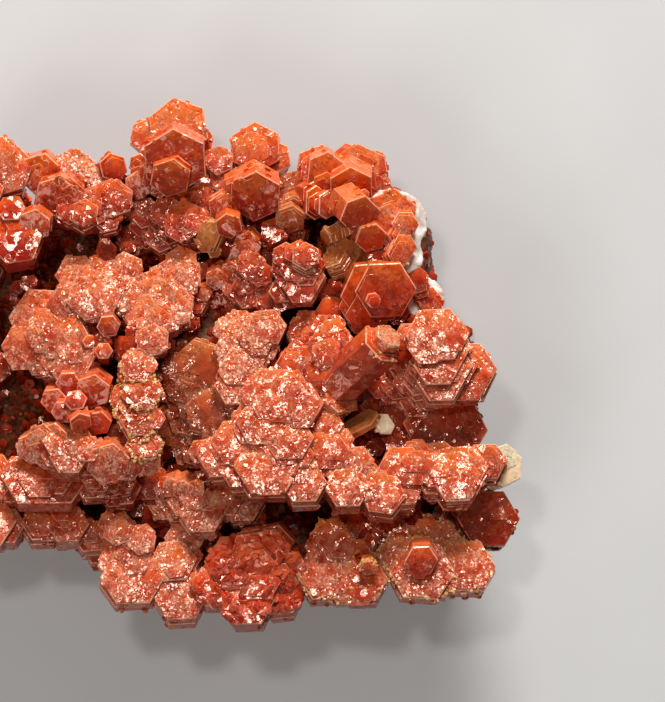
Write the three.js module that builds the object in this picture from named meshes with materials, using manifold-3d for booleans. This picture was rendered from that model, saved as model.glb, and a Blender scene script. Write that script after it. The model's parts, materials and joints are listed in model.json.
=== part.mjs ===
// Vanadinite on matrix: hexagonal plates of orange-red vanadinite standing in fans on a rock base,
// with two pale barite blades behind the right edge. Millimetres, +Z up, resting on its flat back.
import * as THREE from 'three';
import { ConvexGeometry } from 'three/addons/geometries/ConvexGeometry.js';
import { mergeVertices } from 'three/addons/utils/BufferGeometryUtils.js';
import Module from 'manifold-3d';

const wasm = await Module();
wasm.setup();

// ---- driving dimensions -------------------------------------------------------------------------
const GAP = 0.3;           // clearance between neighbouring pieces
const ROOM = 200;          // side of the cube above the rock's flat base
const ROOT_LEVEL = 6;      // level inside the rock where a fan's crystals meet
const ROOT_PULL = 0.92;    // how far a root lies towards the specimen's middle, as a share of its place
const ROOT_SPREAD = 0.4;   // a root's radius as a share of its fan's spread
const SEAT_INRADIUS = 1.2; // a seat's least half-width, which sets how much it swells for clearance
const SEAT_DEPTH = 0.65;   // share of each crystal's depth where the seat starts
const BLADE_SIDES = 14;     // sides of a barite disc
const LUMP_ROUGHNESS = 0.2; // unevenness of a rock lump, as a share of its size
const MERGE_DISTANCE = 1e-4;
const CRYSTAL_GLOSS = 0.3;  // roughness of the crystals' material
const BARITE_GLOSS = 0.5;
const ROCK_GLOSS = 0.9;
const COS30 = Math.cos(Math.PI / 6);

// Distances of the six side faces from a crystal's axis, as shares of the regular hexagon's.
const HABITS = {
  even: [1, 1, 1, 1, 1, 1],
  long: [1.22, 0.88, 1.22, 1.22, 0.88, 1.22],
  broad: [0.88, 1.22, 0.88, 0.88, 1.22, 0.88],
  cut: [1, 1.05, 0.78, 1, 1.1, 0.95],
  skew: [1.14, 0.9, 1.02, 1.08, 0.94, 1],
};

// Each crystal: [x, y, z of its front face's middle, radius, depth, tilt, lean, spin, habit].
// Tilt is the angle between its axis and +Z, lean the compass direction that it tips towards
// (0 = +X, 90 = +Y), and spin turns it on its own axis.
const FANS = {
  leaning_prism: [
    [22.1, 3.0, 24.6, 1.9, 2, 52, 45, 15, 'even'],
    [21.2, 2.0, 24.0, 2.9, 11.5, 56, 42, 12, 'even'],
    [16.0, -4.6, 20.0, 2.5, 4.0, 50, 40, 20, 'skew'],
  ],
  small_red_crystal: [
    [26.1, -24.9, 22.6, 2.1, 3.5, 14, 270, 62, 'even'],
  ],
  pale_flake: [
    [21.5, -7.9, 19.4, 1.5, 0.5, 30, 40, 62, 'cut'],
  ],
  edge_on_plate: [
    [17.9, -7.9, 19.0, 2.6, 0.9, 66, 125, 20, 'long'],
  ],
  blocky_prism: [
    [18.3, 18.2, 20.4, 2.6, 3.6, 40, 312, 75, 'even'],
    [19.9, 15.2, 18.6, 2.1, 4.5, 30, 292, 75, 'even'],
  ],
  shoulder_front_plate: [
    [17.4, 21.4, 18.0, 3.0, 3.4, 25, 270, 92, 'even'],
  ],
  shoulder_plates: [
    [14.5, 22.7, 16.4, 3.3, 2.4, 17, 282, 84, 'skew'],
    [13.0, 19.7, 16.8, 1.8, 2.4, 30, 345, 90, 'long'],
  ],
  shoulder_rear_plate: [
    [18.4, 23.2, 14.4, 4.2, 2.6, 12, 62, 98, 'even'],
  ],
  right_shoulder_plate: [
    [22.5, 18.1, 16.6, 3.5, 3.2, 14, 25, 82, 'even'],
  ],
  tan_ridged_prisms: [
    [15.1, 13.0, 17.0, 1.9, 4.4, 52, 128, 70, 'even'],
  ],
  right_hexagon: [
    [21.7, 8.7, 19.6, 3.9, 2.0, 13, 300, 62, 'even'],
    [20.3, 8.4, 18.4, 4.3, 2.2, 12, 300, 66, 'even'],
  ],
  right_side_stubs: [
    [27.3, 7.4, 15.4, 2.0, 3.0, 26, 45, 70, 'cut'],
  ],
  right_stepped_stack: [
    [28.0, 3.2, 22.6, 3.9, 2.2, 20, 82, 64, 'even'],
    [28.6, 0.4, 22.9, 3.4, 2.2, 20, 82, 62, 'long'],
    [29.0, -1.6, 22.6, 3.4, 2.6, 20, 82, 62, 'long'],
    [31.8, -1.1, 20.2, 3.9, 3.2, 20, 68, 62, 'even'],
    [26.0, -2.4, 20.8, 2.3, 3.0, 22, 100, 70, 'even'],
  ],
  rimmed_stack: [
    [11.7, 13.0, 19.2, 1.9, 1.5, 18, 88, 90, 'even'],
    [11.6, 9.8, 18.6, 2.5, 2.0, 22, 88, 62, 'long'],
  ],
  brown_hexagon: [
    [10.0, 21.8, 14.4, 2.3, 3.0, 13, 100, 75, 'even'],
    [9.8, 17.6, 16.8, 2.0, 3.4, 25, 272, 82, 'even'],
  ],
  spire_front_plate: [
    [5.4, 20.4, 18.4, 3.5, 3.6, 27, 270, 88, 'even'],
    [1.3, 19.1, 17.0, 1.9, 3.0, 18, 250, 95, 'even'],
  ],
  spire_foot_button: [
    [2.1, 16.7, 18.8, 1.8, 3.0, 26, 268, 100, 'even'],
  ],
  cleft_hexagons: [
    [4.9, 11.9, 17.0, 2.0, 3.0, 14, 70, 80, 'even'],
    [4.3, 14.3, 16.4, 1.9, 3.0, 20, 250, 70, 'even'],
    [4.4, 8.4, 16.4, 2.0, 3.0, 14, 90, 70, 'skew'],
    [7.2, 7.6, 16.6, 1.8, 3.0, 16, 80, 60, 'even'],
  ],
  tan_edged_plate: [
    [-0.6, 15.4, 17.2, 1.9, 2.4, 30, 205, 62, 'long'],
  ],
  spire_back_plates: [
    [5.4, 26.7, 15.0, 3.4, 2.6, 12, 96, 92, 'even'],
  ],
  saddle_plate: [
    [0.8, 25.1, 15.2, 2.0, 2.6, 16, 88, 84, 'even'],
    [1.6, 22.5, 15.0, 1.8, 3.0, 12, 85, 90, 'even'],
  ],
  crown_front_plate: [
    [-4.6, 24.8, 18.8, 4.3, 2.6, 20, 270, 93, 'even'],
    [-5.2, 22.7, 18.9, 2.7, 2.0, 26, 272, 80, 'even'],
    [-9.4, 21.8, 16.6, 1.8, 2.8, 20, 230, 90, 'even'],
  ],
  crown_back_plates: [
    [-4.3, 29.2, 14.8, 4.0, 2.6, 12, 90, 100, 'even'],
    [-8.1, 28.2, 14.2, 2.5, 2.6, 12, 110, 82, 'even'],
  ],
  crown_foot_stack: [
    [-10.2, 15.4, 13.6, 2.1, 3.0, 14, 120, 84, 'even'],
    [-8.4, 18.5, 15.2, 2.1, 3.0, 12, 100, 76, 'even'],
    [-5.6, 18.6, 16.0, 2.2, 3.0, 16, 85, 70, 'even'],
    [-3.4, 17.6, 16.4, 2.7, 3.0, 15, 72, 94, 'even'],
  ],
  crest_button: [
    [-12.4, 24.2, 16.0, 1.9, 2.6, 16, 20, 104, 'even'],
  ],
  frosted_crest_fan: [
    [-17.5, 23.9, 15.0, 3.0, 2.6, 16, 85, 82, 'even'],
  ],
  notch_plate: [
    [-21.6, 23.3, 15.6, 2.8, 2.6, 14, 262, 76, 'even'],
  ],
  notch_lower_plates: [
    [-19.5, 20.3, 17.2, 2.9, 2.4, 20, 258, 78, 'even'],
    [-16.0, 18.4, 18.2, 2.0, 2.6, 20, 96, 86, 'even'],
    [-12.3, 20.3, 17.0, 2.6, 2.8, 16, 72, 82, 'even'],
  ],
  left_crest_plate: [
    [-26.9, 24.3, 16.0, 4.2, 3.0, 14, 84, 77, 'even'],
    [-29.4, 21.0, 17.2, 3.4, 3.0, 18, 100, 70, 'even'],
  ],
  left_shoulder_crystals: [
    [-22.2, 16.8, 18.4, 2.2, 3.2, 20, 250, 82, 'even'],
    [-24.5, 15.0, 18.8, 3.4, 3.2, 22, 90, 72, 'even'],
    [-25.2, 19.0, 17.6, 1.9, 3.0, 28, 90, 62, 'even'],
  ],
  left_rear_fan: [
    [-33.6, 20.2, 15.8, 4.0, 3.0, 16, 130, 66, 'even'],
    [-36.0, 15.8, 15.0, 3.6, 3.0, 22, 160, 84, 'even'],
  ],
  left_middle_fan: [
    [-17.1, 10.8, 16.0, 2.7, 2.6, 15, 110, 64, 'even'],
    [-13.6, 10.8, 16.4, 2.6, 2.6, 18, 90, 84, 'even'],
    [-10.9, 11.3, 15.8, 2.5, 2.6, 16, 72, 95, 'even'],
    [-14.9, 8.0, 18.6, 3.4, 2.4, 22, 92, 74, 'even'],
    [-18.0, 7.4, 18.2, 2.6, 2.4, 18, 115, 60, 'even'],
  ],
  left_wing_plates: [
    [-21.4, 5.2, 17.6, 4.2, 2.6, 15, 142, 56, 'even'],
    [-23.7, 1.8, 18.4, 2.8, 2.6, 14, 150, 60, 'even'],
    [-18.6, 3.0, 19.4, 3.4, 2.6, 18, 115, 58, 'even'],
    [-17.2, -0.1, 20.4, 2.9, 2.6, 20, 105, 62, 'long'],
  ],
  small_centre_hexagon: [
    [-12.8, 4.2, 21.2, 1.5, 2.2, 8, 270, 66, 'even'],
  ],
  right_arm_fan: [
    [-4.1, 10.7, 16.0, 3.0, 2.6, 15, 82, 92, 'even'],
    [-6.6, 9.3, 16.4, 2.7, 2.6, 15, 108, 80, 'even'],
    [-5.3, 6.9, 18.0, 3.3, 2.6, 22, 80, 80, 'even'],
    [-9.0, 6.0, 18.4, 2.6, 2.6, 16, 128, 62, 'even'],
    [-7.3, 2.5, 20.6, 2.2, 2.2, 14, 82, 86, 'even'],
  ],
  crusted_column: [
    [-9.2, -0.7, 21.4, 2.4, 2.4, 22, 75, 60, 'even'],
    [-8.5, -3.8, 22.2, 2.6, 2.4, 22, 80, 64, 'even'],
    [-8.9, -7.2, 22.8, 2.6, 2.4, 22, 85, 60, 'even'],
    [-8.3, -10.4, 23.2, 2.4, 2.4, 22, 90, 66, 'even'],
  ],
  red_prism_cluster: [
    [-14.7, -3.9, 22.6, 2.3, 3.2, 20, 250, 80, 'even'],
  ],
  left_foot_lobes: [
    [-17.1, -11.2, 23.0, 2.8, 3.0, 24, 92, 60, 'long'],
    [-19.7, -9.8, 22.2, 2.1, 3.0, 18, 200, 80, 'even'],
    [-22.3, -11.0, 21.4, 2.1, 3.0, 16, 240, 84, 'even'],
    [-12.7, -12.9, 23.4, 2.8, 3.2, 16, 262, 76, 'even'],
  ],
  middle_rimmed_fan: [
    [6.8, 4.1, 18.6, 2.6, 2.4, 16, 90, 66, 'even'],
    [3.2, 1.4, 18.8, 3.0, 2.2, 22, 66, 62, 'even'],
    [3.8, -0.8, 19.8, 2.8, 2.2, 22, 66, 62, 'even'],
    [3.1, -3.2, 20.4, 2.8, 2.2, 22, 66, 60, 'even'],
  ],
  brown_curved_plate: [
    [-1.6, -1.4, 18.0, 4.2, 2.6, 15, 140, 42, 'even'],
    [-0.2, -6.4, 19.4, 3.4, 2.6, 18, 130, 46, 'even'],
  ],
  centre_upper_plates: [
    [12.6, 3.6, 18.0, 3.2, 2.4, 20, 95, 62, 'even'],
    [15.0, 6.0, 17.2, 2.2, 2.4, 20, 95, 62, 'even'],
    [15.2, 2.6, 19.2, 2.4, 2.4, 18, 95, 66, 'even'],
    [10.5, -0.8, 20.0, 2.8, 2.4, 20, 95, 60, 'even'],
    [14.1, 0.6, 20.2, 2.0, 2.4, 16, 95, 80, 'even'],
  ],
  centre_fan: [
    [7.4, -3.6, 21.6, 3.2, 2.4, 22, 95, 56, 'even'],
    [10.8, -5.4, 22.4, 3.2, 2.4, 22, 92, 62, 'even'],
    [6.4, -7.6, 23.0, 3.4, 2.4, 22, 92, 56, 'even'],
    [2.9, -9.8, 22.6, 2.8, 2.4, 22, 95, 60, 'even'],
    [9.6, -9.6, 23.8, 3.2, 2.4, 22, 90, 62, 'even'],
    [1.4, -11.9, 23.2, 3.1, 2.8, 22, 95, 62, 'even'],
    [6.5, -13.9, 25.0, 3.5, 3.0, 23, 90, 62, 'broad'],
    [11.5, -15.1, 24.8, 2.9, 3.0, 22, 90, 62, 'even'],
  ],
  centre_right_lobes: [
    [16.9, -15.7, 24.2, 2.9, 3.0, 22, 90, 62, 'even'],
    [21.3, -16.5, 24.0, 2.9, 3.4, 20, 88, 52, 'even'],
    [14.6, -11.3, 22.8, 2.6, 2.6, 18, 92, 62, 'even'],
    [18.0, -12.6, 22.8, 2.3, 2.6, 20, 90, 66, 'even'],
  ],
  right_lower_stack: [
    [23.7, -13.2, 22.4, 2.9, 2.6, 18, 92, 62, 'even'],
    [31.0, -14.2, 23.0, 3.3, 3.0, 24, 94, 62, 'long'],
    [27.8, -14.6, 22.4, 2.4, 3.0, 22, 92, 62, 'even'],
    [34.2, -12.6, 21.2, 2.6, 2.6, 18, 70, 62, 'even'],
  ],
  shadowed_plate: [
    [29.2, -8.3, 18.2, 5.4, 3.4, 16, 58, 56, 'even'],
    [24.2, -8.8, 17.4, 3.2, 3.4, 14, 70, 62, 'even'],
  ],
  pale_yellow_crystal: [
    [36.6, -13.2, 18.6, 2.7, 3.6, 26, 20, 84, 'even'],
  ],
  stepped_long_plate: [
    [-20.6, -14.7, 20.4, 2.9, 1.6, 30, 92, 0, 'long'],
    [-20.7, -14.9, 20.0, 4.3, 2.0, 30, 92, 0, 'long'],
    [-27.8, -14.6, 18.6, 3.4, 3.0, 22, 102, 60, 'even'],
  ],
  left_edge_plates: [
    [-28.2, -20.0, 19.0, 3.9, 3.2, 24, 92, 60, 'even'],
    [-32.8, -17.6, 17.6, 3.8, 3.2, 22, 130, 60, 'even'],
  ],
  left_flank_fan: [
    [-33.4, 8.6, 17.6, 4.2, 3.2, 18, 140, 60, 'even'],
    [-29.6, 11.2, 16.4, 3.0, 3.2, 16, 100, 70, 'even'],
    [-35.8, 3.2, 16.6, 3.8, 3.2, 22, 170, 70, 'even'],
  ],
  left_low_fan: [
    [-34.4, -4.2, 17.0, 4.0, 3.2, 20, 185, 60, 'even'],
    [-30.6, -6.4, 18.2, 3.2, 3.2, 16, 170, 70, 'even'],
    [-34.6, -10.6, 16.2, 3.6, 3.2, 22, 200, 66, 'even'],
  ],
  ragged_foot_fan: [
    [-21.2, -20.2, 18.4, 2.7, 3.0, 22, 92, 62, 'even'],
    [-18.0, -20.4, 18.6, 2.7, 3.0, 22, 90, 60, 'even'],
    [-15.2, -22.0, 17.2, 2.3, 3.0, 22, 88, 66, 'even'],
  ],
  frosted_shelf: [
    [-0.6, -18.0, 20.0, 3.4, 2.6, 24, 94, 62, 'long'],
    [3.8, -17.8, 18.8, 2.7, 2.8, 20, 92, 62, 'even'],
    [-3.5, -16.4, 20.0, 1.6, 2.6, 30, 250, 88, 'even'],
    [-6.0, -17.9, 17.6, 2.2, 3.0, 14, 110, 60, 'skew'],
  ],
  foot_fan_left: [
    [-11.7, -21.3, 19.6, 2.0, 2.2, 20, 92, 82, 'even'],
    [-9.8, -26.9, 20.8, 4.1, 3.0, 22, 90, 62, 'even'],
    [-8.7, -22.5, 20.0, 1.9, 2.4, 20, 90, 80, 'even'],
  ],
  foot_fan_middle: [
    [-3.8, -29.4, 21.0, 3.4, 3.0, 22, 90, 62, 'even'],
    [-4.8, -25.0, 19.8, 3.0, 2.6, 22, 90, 66, 'even'],
    [-3.4, -22.2, 18.4, 2.6, 2.6, 20, 90, 60, 'even'],
  ],
  red_foot_cluster: [
    [4.4, -29.9, 22.0, 3.5, 3.0, 22, 90, 62, 'even'],
    [0.5, -28.0, 21.2, 3.0, 2.8, 22, 90, 66, 'even'],
    [8.7, -29.4, 20.4, 2.6, 3.0, 22, 88, 66, 'even'],
    [2.6, -24.4, 20.2, 3.0, 2.6, 20, 90, 60, 'even'],
    [7.1, -23.7, 21.2, 2.9, 3.0, 14, 250, 72, 'even'],
    [9.7, -26.0, 20.8, 2.4, 3.0, 16, 280, 60, 'even'],
  ],
  foot_fan_crusted: [
    [14.4, -26.5, 20.8, 3.9, 3.0, 20, 90, 62, 'even'],
    [18.7, -27.2, 21.0, 3.3, 3.0, 20, 88, 60, 'even'],
    [15.2, -22.9, 19.0, 3.0, 2.8, 18, 92, 62, 'even'],
  ],
  foot_fan_right: [
    [26.2, -26.2, 20.8, 4.2, 2.8, 20, 90, 56, 'even'],
    [31.6, -25.6, 20.2, 3.8, 2.8, 20, 85, 60, 'even'],
    [23.4, -24.4, 20.0, 2.8, 2.8, 18, 110, 60, 'even'],
  ],
  dark_rounded_plates: [
    [34.6, -19.8, 17.6, 4.0, 3.4, 14, 60, 60, 'even'],
    [30.6, -19.0, 16.0, 2.8, 3.4, 12, 80, 70, 'even'],
  ],
};

// The crystal pieces: each is one or more fans that have grown into each other. Front ones come
// first, as each later piece is trimmed to clear the rock, the barite and the pieces before it.
const PIECES = {
  leaning_prism: ['leaning_prism'],
  small_red_crystal: ['small_red_crystal'],
  pale_flake: ['pale_flake'],
  edge_on_plate: ['edge_on_plate'],
  blocky_prism: ['blocky_prism'],
  shoulder_fan: ['shoulder_front_plate', 'shoulder_plates', 'shoulder_rear_plate'],
  right_shoulder_plate: ['right_shoulder_plate'],
  tan_ridged_prisms: ['tan_ridged_prisms'],
  right_hexagon: ['right_hexagon'],
  right_side_stub: ['right_side_stubs'],
  right_stepped_stack: ['right_stepped_stack'],
  rimmed_stack: ['rimmed_stack'],
  brown_hexagon: ['brown_hexagon'],
  spire_fan: ['spire_front_plate', 'spire_foot_button', 'spire_back_plates', 'saddle_plate'],
  tan_edged_plate: ['tan_edged_plate'],
  cleft_hexagons: ['cleft_hexagons'],
  crown_front_plate: ['crown_front_plate'],
  crown_back_plates: ['crown_back_plates'],
  crown_foot_stack: ['crown_foot_stack'],
  crest_fan: ['crest_button', 'frosted_crest_fan', 'notch_plate', 'notch_lower_plates'],
  left_crest_fan: ['left_crest_plate', 'left_shoulder_crystals'],
  left_rear_fan: ['left_rear_fan'],
  red_prism_cluster: ['red_prism_cluster'],
  left_middle_fan: ['small_centre_hexagon', 'left_middle_fan', 'left_wing_plates'],
  right_arm_fan: ['right_arm_fan', 'crusted_column'],
  left_foot_lobes: ['left_foot_lobes'],
  centre_fan: ['centre_fan', 'centre_upper_plates'],
  middle_rimmed_fan: ['middle_rimmed_fan'],
  brown_curved_plate: ['brown_curved_plate'],
  centre_right_lobes: ['centre_right_lobes', 'right_lower_stack'],
  shadowed_plate: ['shadowed_plate'],
  pale_yellow_crystal: ['pale_yellow_crystal'],
  stepped_long_plate: ['stepped_long_plate'],
  left_edge_plates: ['left_edge_plates'],
  left_flank_fan: ['left_flank_fan'],
  left_low_fan: ['left_low_fan'],
  ragged_foot_fan: ['ragged_foot_fan'],
  frosted_shelf: ['frosted_shelf'],
  foot_fan_left: ['foot_fan_left', 'foot_fan_middle'],
  red_foot_cluster: ['red_foot_cluster'],
  foot_fan_crusted: ['foot_fan_crusted'],
  foot_fan_right: ['foot_fan_right'],
  dark_rounded_plates: ['dark_rounded_plates'],
};

// Colours of the pieces that aren't the usual orange-red.
const RED_ORANGE = 0xb8391a;
const COLOURS = {
  pale_flake: 0xcfc6bd,
  edge_on_plate: 0xb8925e,
  tan_ridged_prisms: 0xa8764a,
  brown_curved_plate: 0x86402a,
  brown_hexagon: 0x9a4128,
  small_red_crystal: 0xc8340f,
  pale_yellow_crystal: 0xd6b48c,
  shadowed_plate: 0x7d2112,
  dark_rounded_plates: 0x842613,
};

// Lumps of the rock: [x, y, z of the middle, half-width, half-height].
const ROCK_LUMPS = [
  [-4, 0, 3, 23, 10.5], [-27, 9, 3, 11, 9.5], [-26, -8, 3, 11.5, 11], [-11, 14, 2, 10, 9.5],
  [4, 14, 2, 10, 9], [17, 10, 2, 11.5, 9.5], [24, -4, 3, 10.5, 11], [22, -16, 3, 11.5, 12],
  [6, -17, 3, 11.5, 12], [-7, -16, 3, 11, 12],
];

// Barite blades: thin discs standing behind the right edge, [x, y, z, radius, thickness, tilt, lean].
const BARITE_BLADES = {
  barite_blade_upper: [
    [22.8, 17.4, 15.6, 4.4, 2.4, 14, 30],
    [24.2, 13.4, 16.6, 2.6, 3, 26, 20],
    [21.6, 14.2, 14.4, 4.4, 8, 10, 60],
  ],
  barite_blade_lower: [
    [26.5, 8.0, 14.8, 2.9, 2.6, 22, 35],
    [25.2, 7.8, 13.6, 3.0, 7, 10, 30],
  ],
};
const BARITE_WHITE = 0xe9dfd2;
const ROCK_BROWN = 0x5b3125;

// ---- solids -------------------------------------------------------------------------------------
const rad = THREE.MathUtils.degToRad;

function solidOf(geometry) {
  geometry.deleteAttribute('normal');
  geometry.deleteAttribute('uv');
  const merged = mergeVertices(geometry, MERGE_DISTANCE);
  const mesh = new wasm.Mesh({
    numProp: 3,
    vertProperties: merged.attributes.position.array,
    triVerts: new Uint32Array(merged.index.array),
  });
  return new wasm.Manifold(mesh);
}

function joined(solids) {
  return solids.reduce((sum, solid) => sum.add(solid));
}

// Tips a piece built around +Z by `tilt` towards `lean`, and moves it to its place.
function placement(x, y, z, tilt, lean) {
  const hinge = new THREE.Vector3(-Math.sin(rad(lean)), Math.cos(rad(lean)), 0);
  const matrix = new THREE.Matrix4().makeRotationAxis(hinge, rad(tilt));
  return matrix.setPosition(x, y, z);
}

// A hexagon whose corners stay 120 degrees while its sides lie at their own distances from the axis.
function hexagonOutline(radius, habit, spin, extra) {
  const reach = HABITS[habit].map((share) => share * radius * COS30 + extra);
  const corners = reach.map((distance, side) => {
    const next = reach[(side + 1) % 6];
    const along = (next - distance * 0.5) / COS30;
    const facing = rad(spin + 30 + 60 * side);
    return new THREE.Vector2(
      distance * Math.cos(facing) - along * Math.sin(facing),
      distance * Math.sin(facing) + along * Math.cos(facing),
    );
  });
  return new THREE.Shape(corners);
}

// A crystal's hexagonal prism, from its front face down along its axis.
function hexagonPrism(crystal, extra) {
  const [x, y, z, radius, depth, tilt, lean, spin, habit] = crystal;
  const outline = hexagonOutline(radius, habit, spin, extra);
  const geometry = new THREE.ExtrudeGeometry(outline, { depth: depth + 2 * extra, bevelEnabled: false });
  geometry.translate(0, 0, -depth - extra);
  geometry.applyMatrix4(placement(x, y, z, tilt, lean));
  return solidOf(geometry);
}

// The point inside a crystal's back where its fan's common seat holds it.
function seatPoint([x, y, z, , depth, tilt, lean]) {
  return new THREE.Vector3(0, 0, -depth * SEAT_DEPTH).applyMatrix4(placement(x, y, z, tilt, lean));
}

// Where a fan's crystals meet inside the rock: a triangle below them, drawn in towards the middle.
function rootPoints(crystals) {
  const fronts = crystals.map(([x, y, z]) => new THREE.Vector3(x, y, z));
  const box = new THREE.Box3().setFromPoints(fronts);
  const middle = box.getCenter(new THREE.Vector3());
  const spread = 2 + box.getSize(new THREE.Vector3()).setZ(0).length() / 2;
  return [90, 210, 330].map((turn) => new THREE.Vector3(
    middle.x * ROOT_PULL + spread * ROOT_SPREAD * Math.cos(rad(turn)),
    middle.y * ROOT_PULL + spread * ROOT_SPREAD * Math.sin(rad(turn)),
    ROOT_LEVEL,
  ));
}

// The mass that a fan's crystals grow out of, from their backs down to their root.
function seatSolid(crystals, extra) {
  const points = [...crystals.map(seatPoint), ...rootPoints(crystals)];
  const total = points.reduce((sum, point) => sum.add(point), new THREE.Vector3());
  const middle = total.divideScalar(points.length);
  const swell = 1 + extra / SEAT_INRADIUS;
  const swollen = points.map((point) => point.sub(middle).multiplyScalar(swell).add(middle));
  return solidOf(new ConvexGeometry(swollen));
}

function fanSolid(crystals, extra) {
  return joined([seatSolid(crystals, extra), ...crystals.map((crystal) => hexagonPrism(crystal, extra))]);
}

function bladeSolid(discs, extra) {
  const solids = discs.map(([x, y, z, radius, thickness, tilt, lean]) => {
    const reach = radius + extra;
    const height = thickness + 2 * extra;
    const geometry = new THREE.CylinderGeometry(reach, reach, height, BLADE_SIDES);
    geometry.rotateX(Math.PI / 2);
    geometry.translate(0, 0, -thickness / 2);
    geometry.applyMatrix4(placement(x, y, z, tilt, lean));
    return solidOf(geometry);
  });
  return joined(solids);
}

// Uneven reach of a lump in the direction (x, y, z), between about 1 - roughness and 1 + roughness.
function lumpReach(x, y, z, seed) {
  const waves = [
    Math.sin(3.1 * x + seed),
    Math.sin(4.3 * y + 1.7 * seed),
    Math.sin(3.7 * z + 2.3 * seed),
  ];
  return 1 + (LUMP_ROUGHNESS * (waves[0] + waves[1] + waves[2])) / 3;
}

function lumpSolid([x, y, z, halfWidth, halfHeight], seed, extra) {
  const geometry = new THREE.IcosahedronGeometry(1, 1);
  const position = geometry.attributes.position;
  for (let i = 0; i < position.count; i += 1) {
    const point = new THREE.Vector3().fromBufferAttribute(position, i);
    const reach = lumpReach(point.x, point.y, point.z, seed);
    position.setXYZ(
      i,
      x + point.x * (halfWidth * reach + extra),
      y + point.y * (halfWidth * reach + extra),
      z + point.z * (halfHeight * reach + extra),
    );
  }
  return solidOf(geometry);
}

// The rock is a heap of lumps, cut flat below.
function rockSolid(extra) {
  const lumps = ROCK_LUMPS.map((lump, index) => lumpSolid(lump, index + 1, extra));
  const above = new THREE.BoxGeometry(ROOM, ROOM, ROOM).translate(0, 0, ROOM / 2);
  return joined(lumps).intersect(solidOf(above));
}

// ---- assembly -----------------------------------------------------------------------------------
function largestBody(solid) {
  return solid.decompose().reduce((best, body) => (body.volume() > best.volume() ? body : best));
}

function meshOf(solid, name, colour, roughness) {
  const { vertProperties, triVerts } = solid.getMesh();
  const geometry = new THREE.BufferGeometry();
  geometry.setAttribute('position', new THREE.BufferAttribute(vertProperties, 3));
  geometry.setIndex(new THREE.BufferAttribute(triVerts, 1));
  geometry.computeVertexNormals();
  const material = new THREE.MeshStandardMaterial({ color: colour, roughness, flatShading: true });
  const mesh = new THREE.Mesh(geometry, material);
  mesh.name = name;
  return mesh;
}

const specimen = new THREE.Group();
const keepOuts = [rockSolid(GAP)];
specimen.add(meshOf(largestBody(rockSolid(0)), 'rock_matrix', ROCK_BROWN, ROCK_GLOSS));

// Adds the piece that build(0) makes, cut clear of the earlier ones; build(GAP) makes it swollen.
function addPiece(name, build, colour, roughness) {
  const cleared = keepOuts.reduce((solid, keepOut) => solid.subtract(keepOut), build(0));
  specimen.add(meshOf(largestBody(cleared), name, colour, roughness));
  keepOuts.push(build(GAP));
}

for (const [name, discs] of Object.entries(BARITE_BLADES)) {
  addPiece(name, (extra) => bladeSolid(discs, extra), BARITE_WHITE, BARITE_GLOSS);
}
for (const [name, fans] of Object.entries(PIECES)) {
  const build = (extra) => joined(fans.map((fan) => fanSolid(FANS[fan], extra)));
  addPiece(name, build, COLOURS[name] ?? RED_ORANGE, CRYSTAL_GLOSS);
}

export default specimen;
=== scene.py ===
"""Vanadinite on matrix: fans of hexagonal crystals on a rock base, dressed for rendering.

Every crystal, from the large ones down to the sparkling growth on their faces, is a hexagonal
plate. A large crystal is a pile of plates; smaller plates grow on its front face, along its rim
and on its sides. Lengths in the tables are millimetres and angles are degrees.
"""
import json
from dataclasses import dataclass, replace
from itertools import combinations

import bmesh
import bpy
import numpy as np
from mathutils import Matrix, Vector, noise
from mathutils.bvhtree import BVHTree


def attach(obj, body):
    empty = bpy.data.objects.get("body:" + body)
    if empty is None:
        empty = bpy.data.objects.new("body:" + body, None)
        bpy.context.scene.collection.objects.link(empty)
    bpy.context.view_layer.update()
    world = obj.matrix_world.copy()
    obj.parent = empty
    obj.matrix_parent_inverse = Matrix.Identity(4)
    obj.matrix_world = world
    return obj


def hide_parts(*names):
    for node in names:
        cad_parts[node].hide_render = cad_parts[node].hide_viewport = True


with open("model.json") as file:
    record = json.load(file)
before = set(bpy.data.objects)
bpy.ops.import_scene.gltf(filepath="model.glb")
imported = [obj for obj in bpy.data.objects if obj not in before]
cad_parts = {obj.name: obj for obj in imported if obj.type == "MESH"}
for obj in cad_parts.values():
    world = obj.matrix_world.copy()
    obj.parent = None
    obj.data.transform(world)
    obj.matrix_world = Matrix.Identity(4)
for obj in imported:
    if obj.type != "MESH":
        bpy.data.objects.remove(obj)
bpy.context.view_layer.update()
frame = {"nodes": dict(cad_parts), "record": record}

MM = 0.001
SEED = 7
ROCK_SEED = 1000

# ---- the crystals --------------------------------------------------------------------------------

# Distances of the six side faces from a crystal's axis, as shares of the regular hexagon's.
HABITS = {
    "even": (1, 1, 1, 1, 1, 1),
    "long": (1.22, 0.88, 1.22, 1.22, 0.88, 1.22),
    "broad": (0.88, 1.22, 0.88, 0.88, 1.22, 0.88),
    "cut": (1, 1.05, 0.78, 1, 1.1, 0.95),
    "skew": (1.14, 0.9, 1.02, 1.08, 0.94, 1),
}

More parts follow.
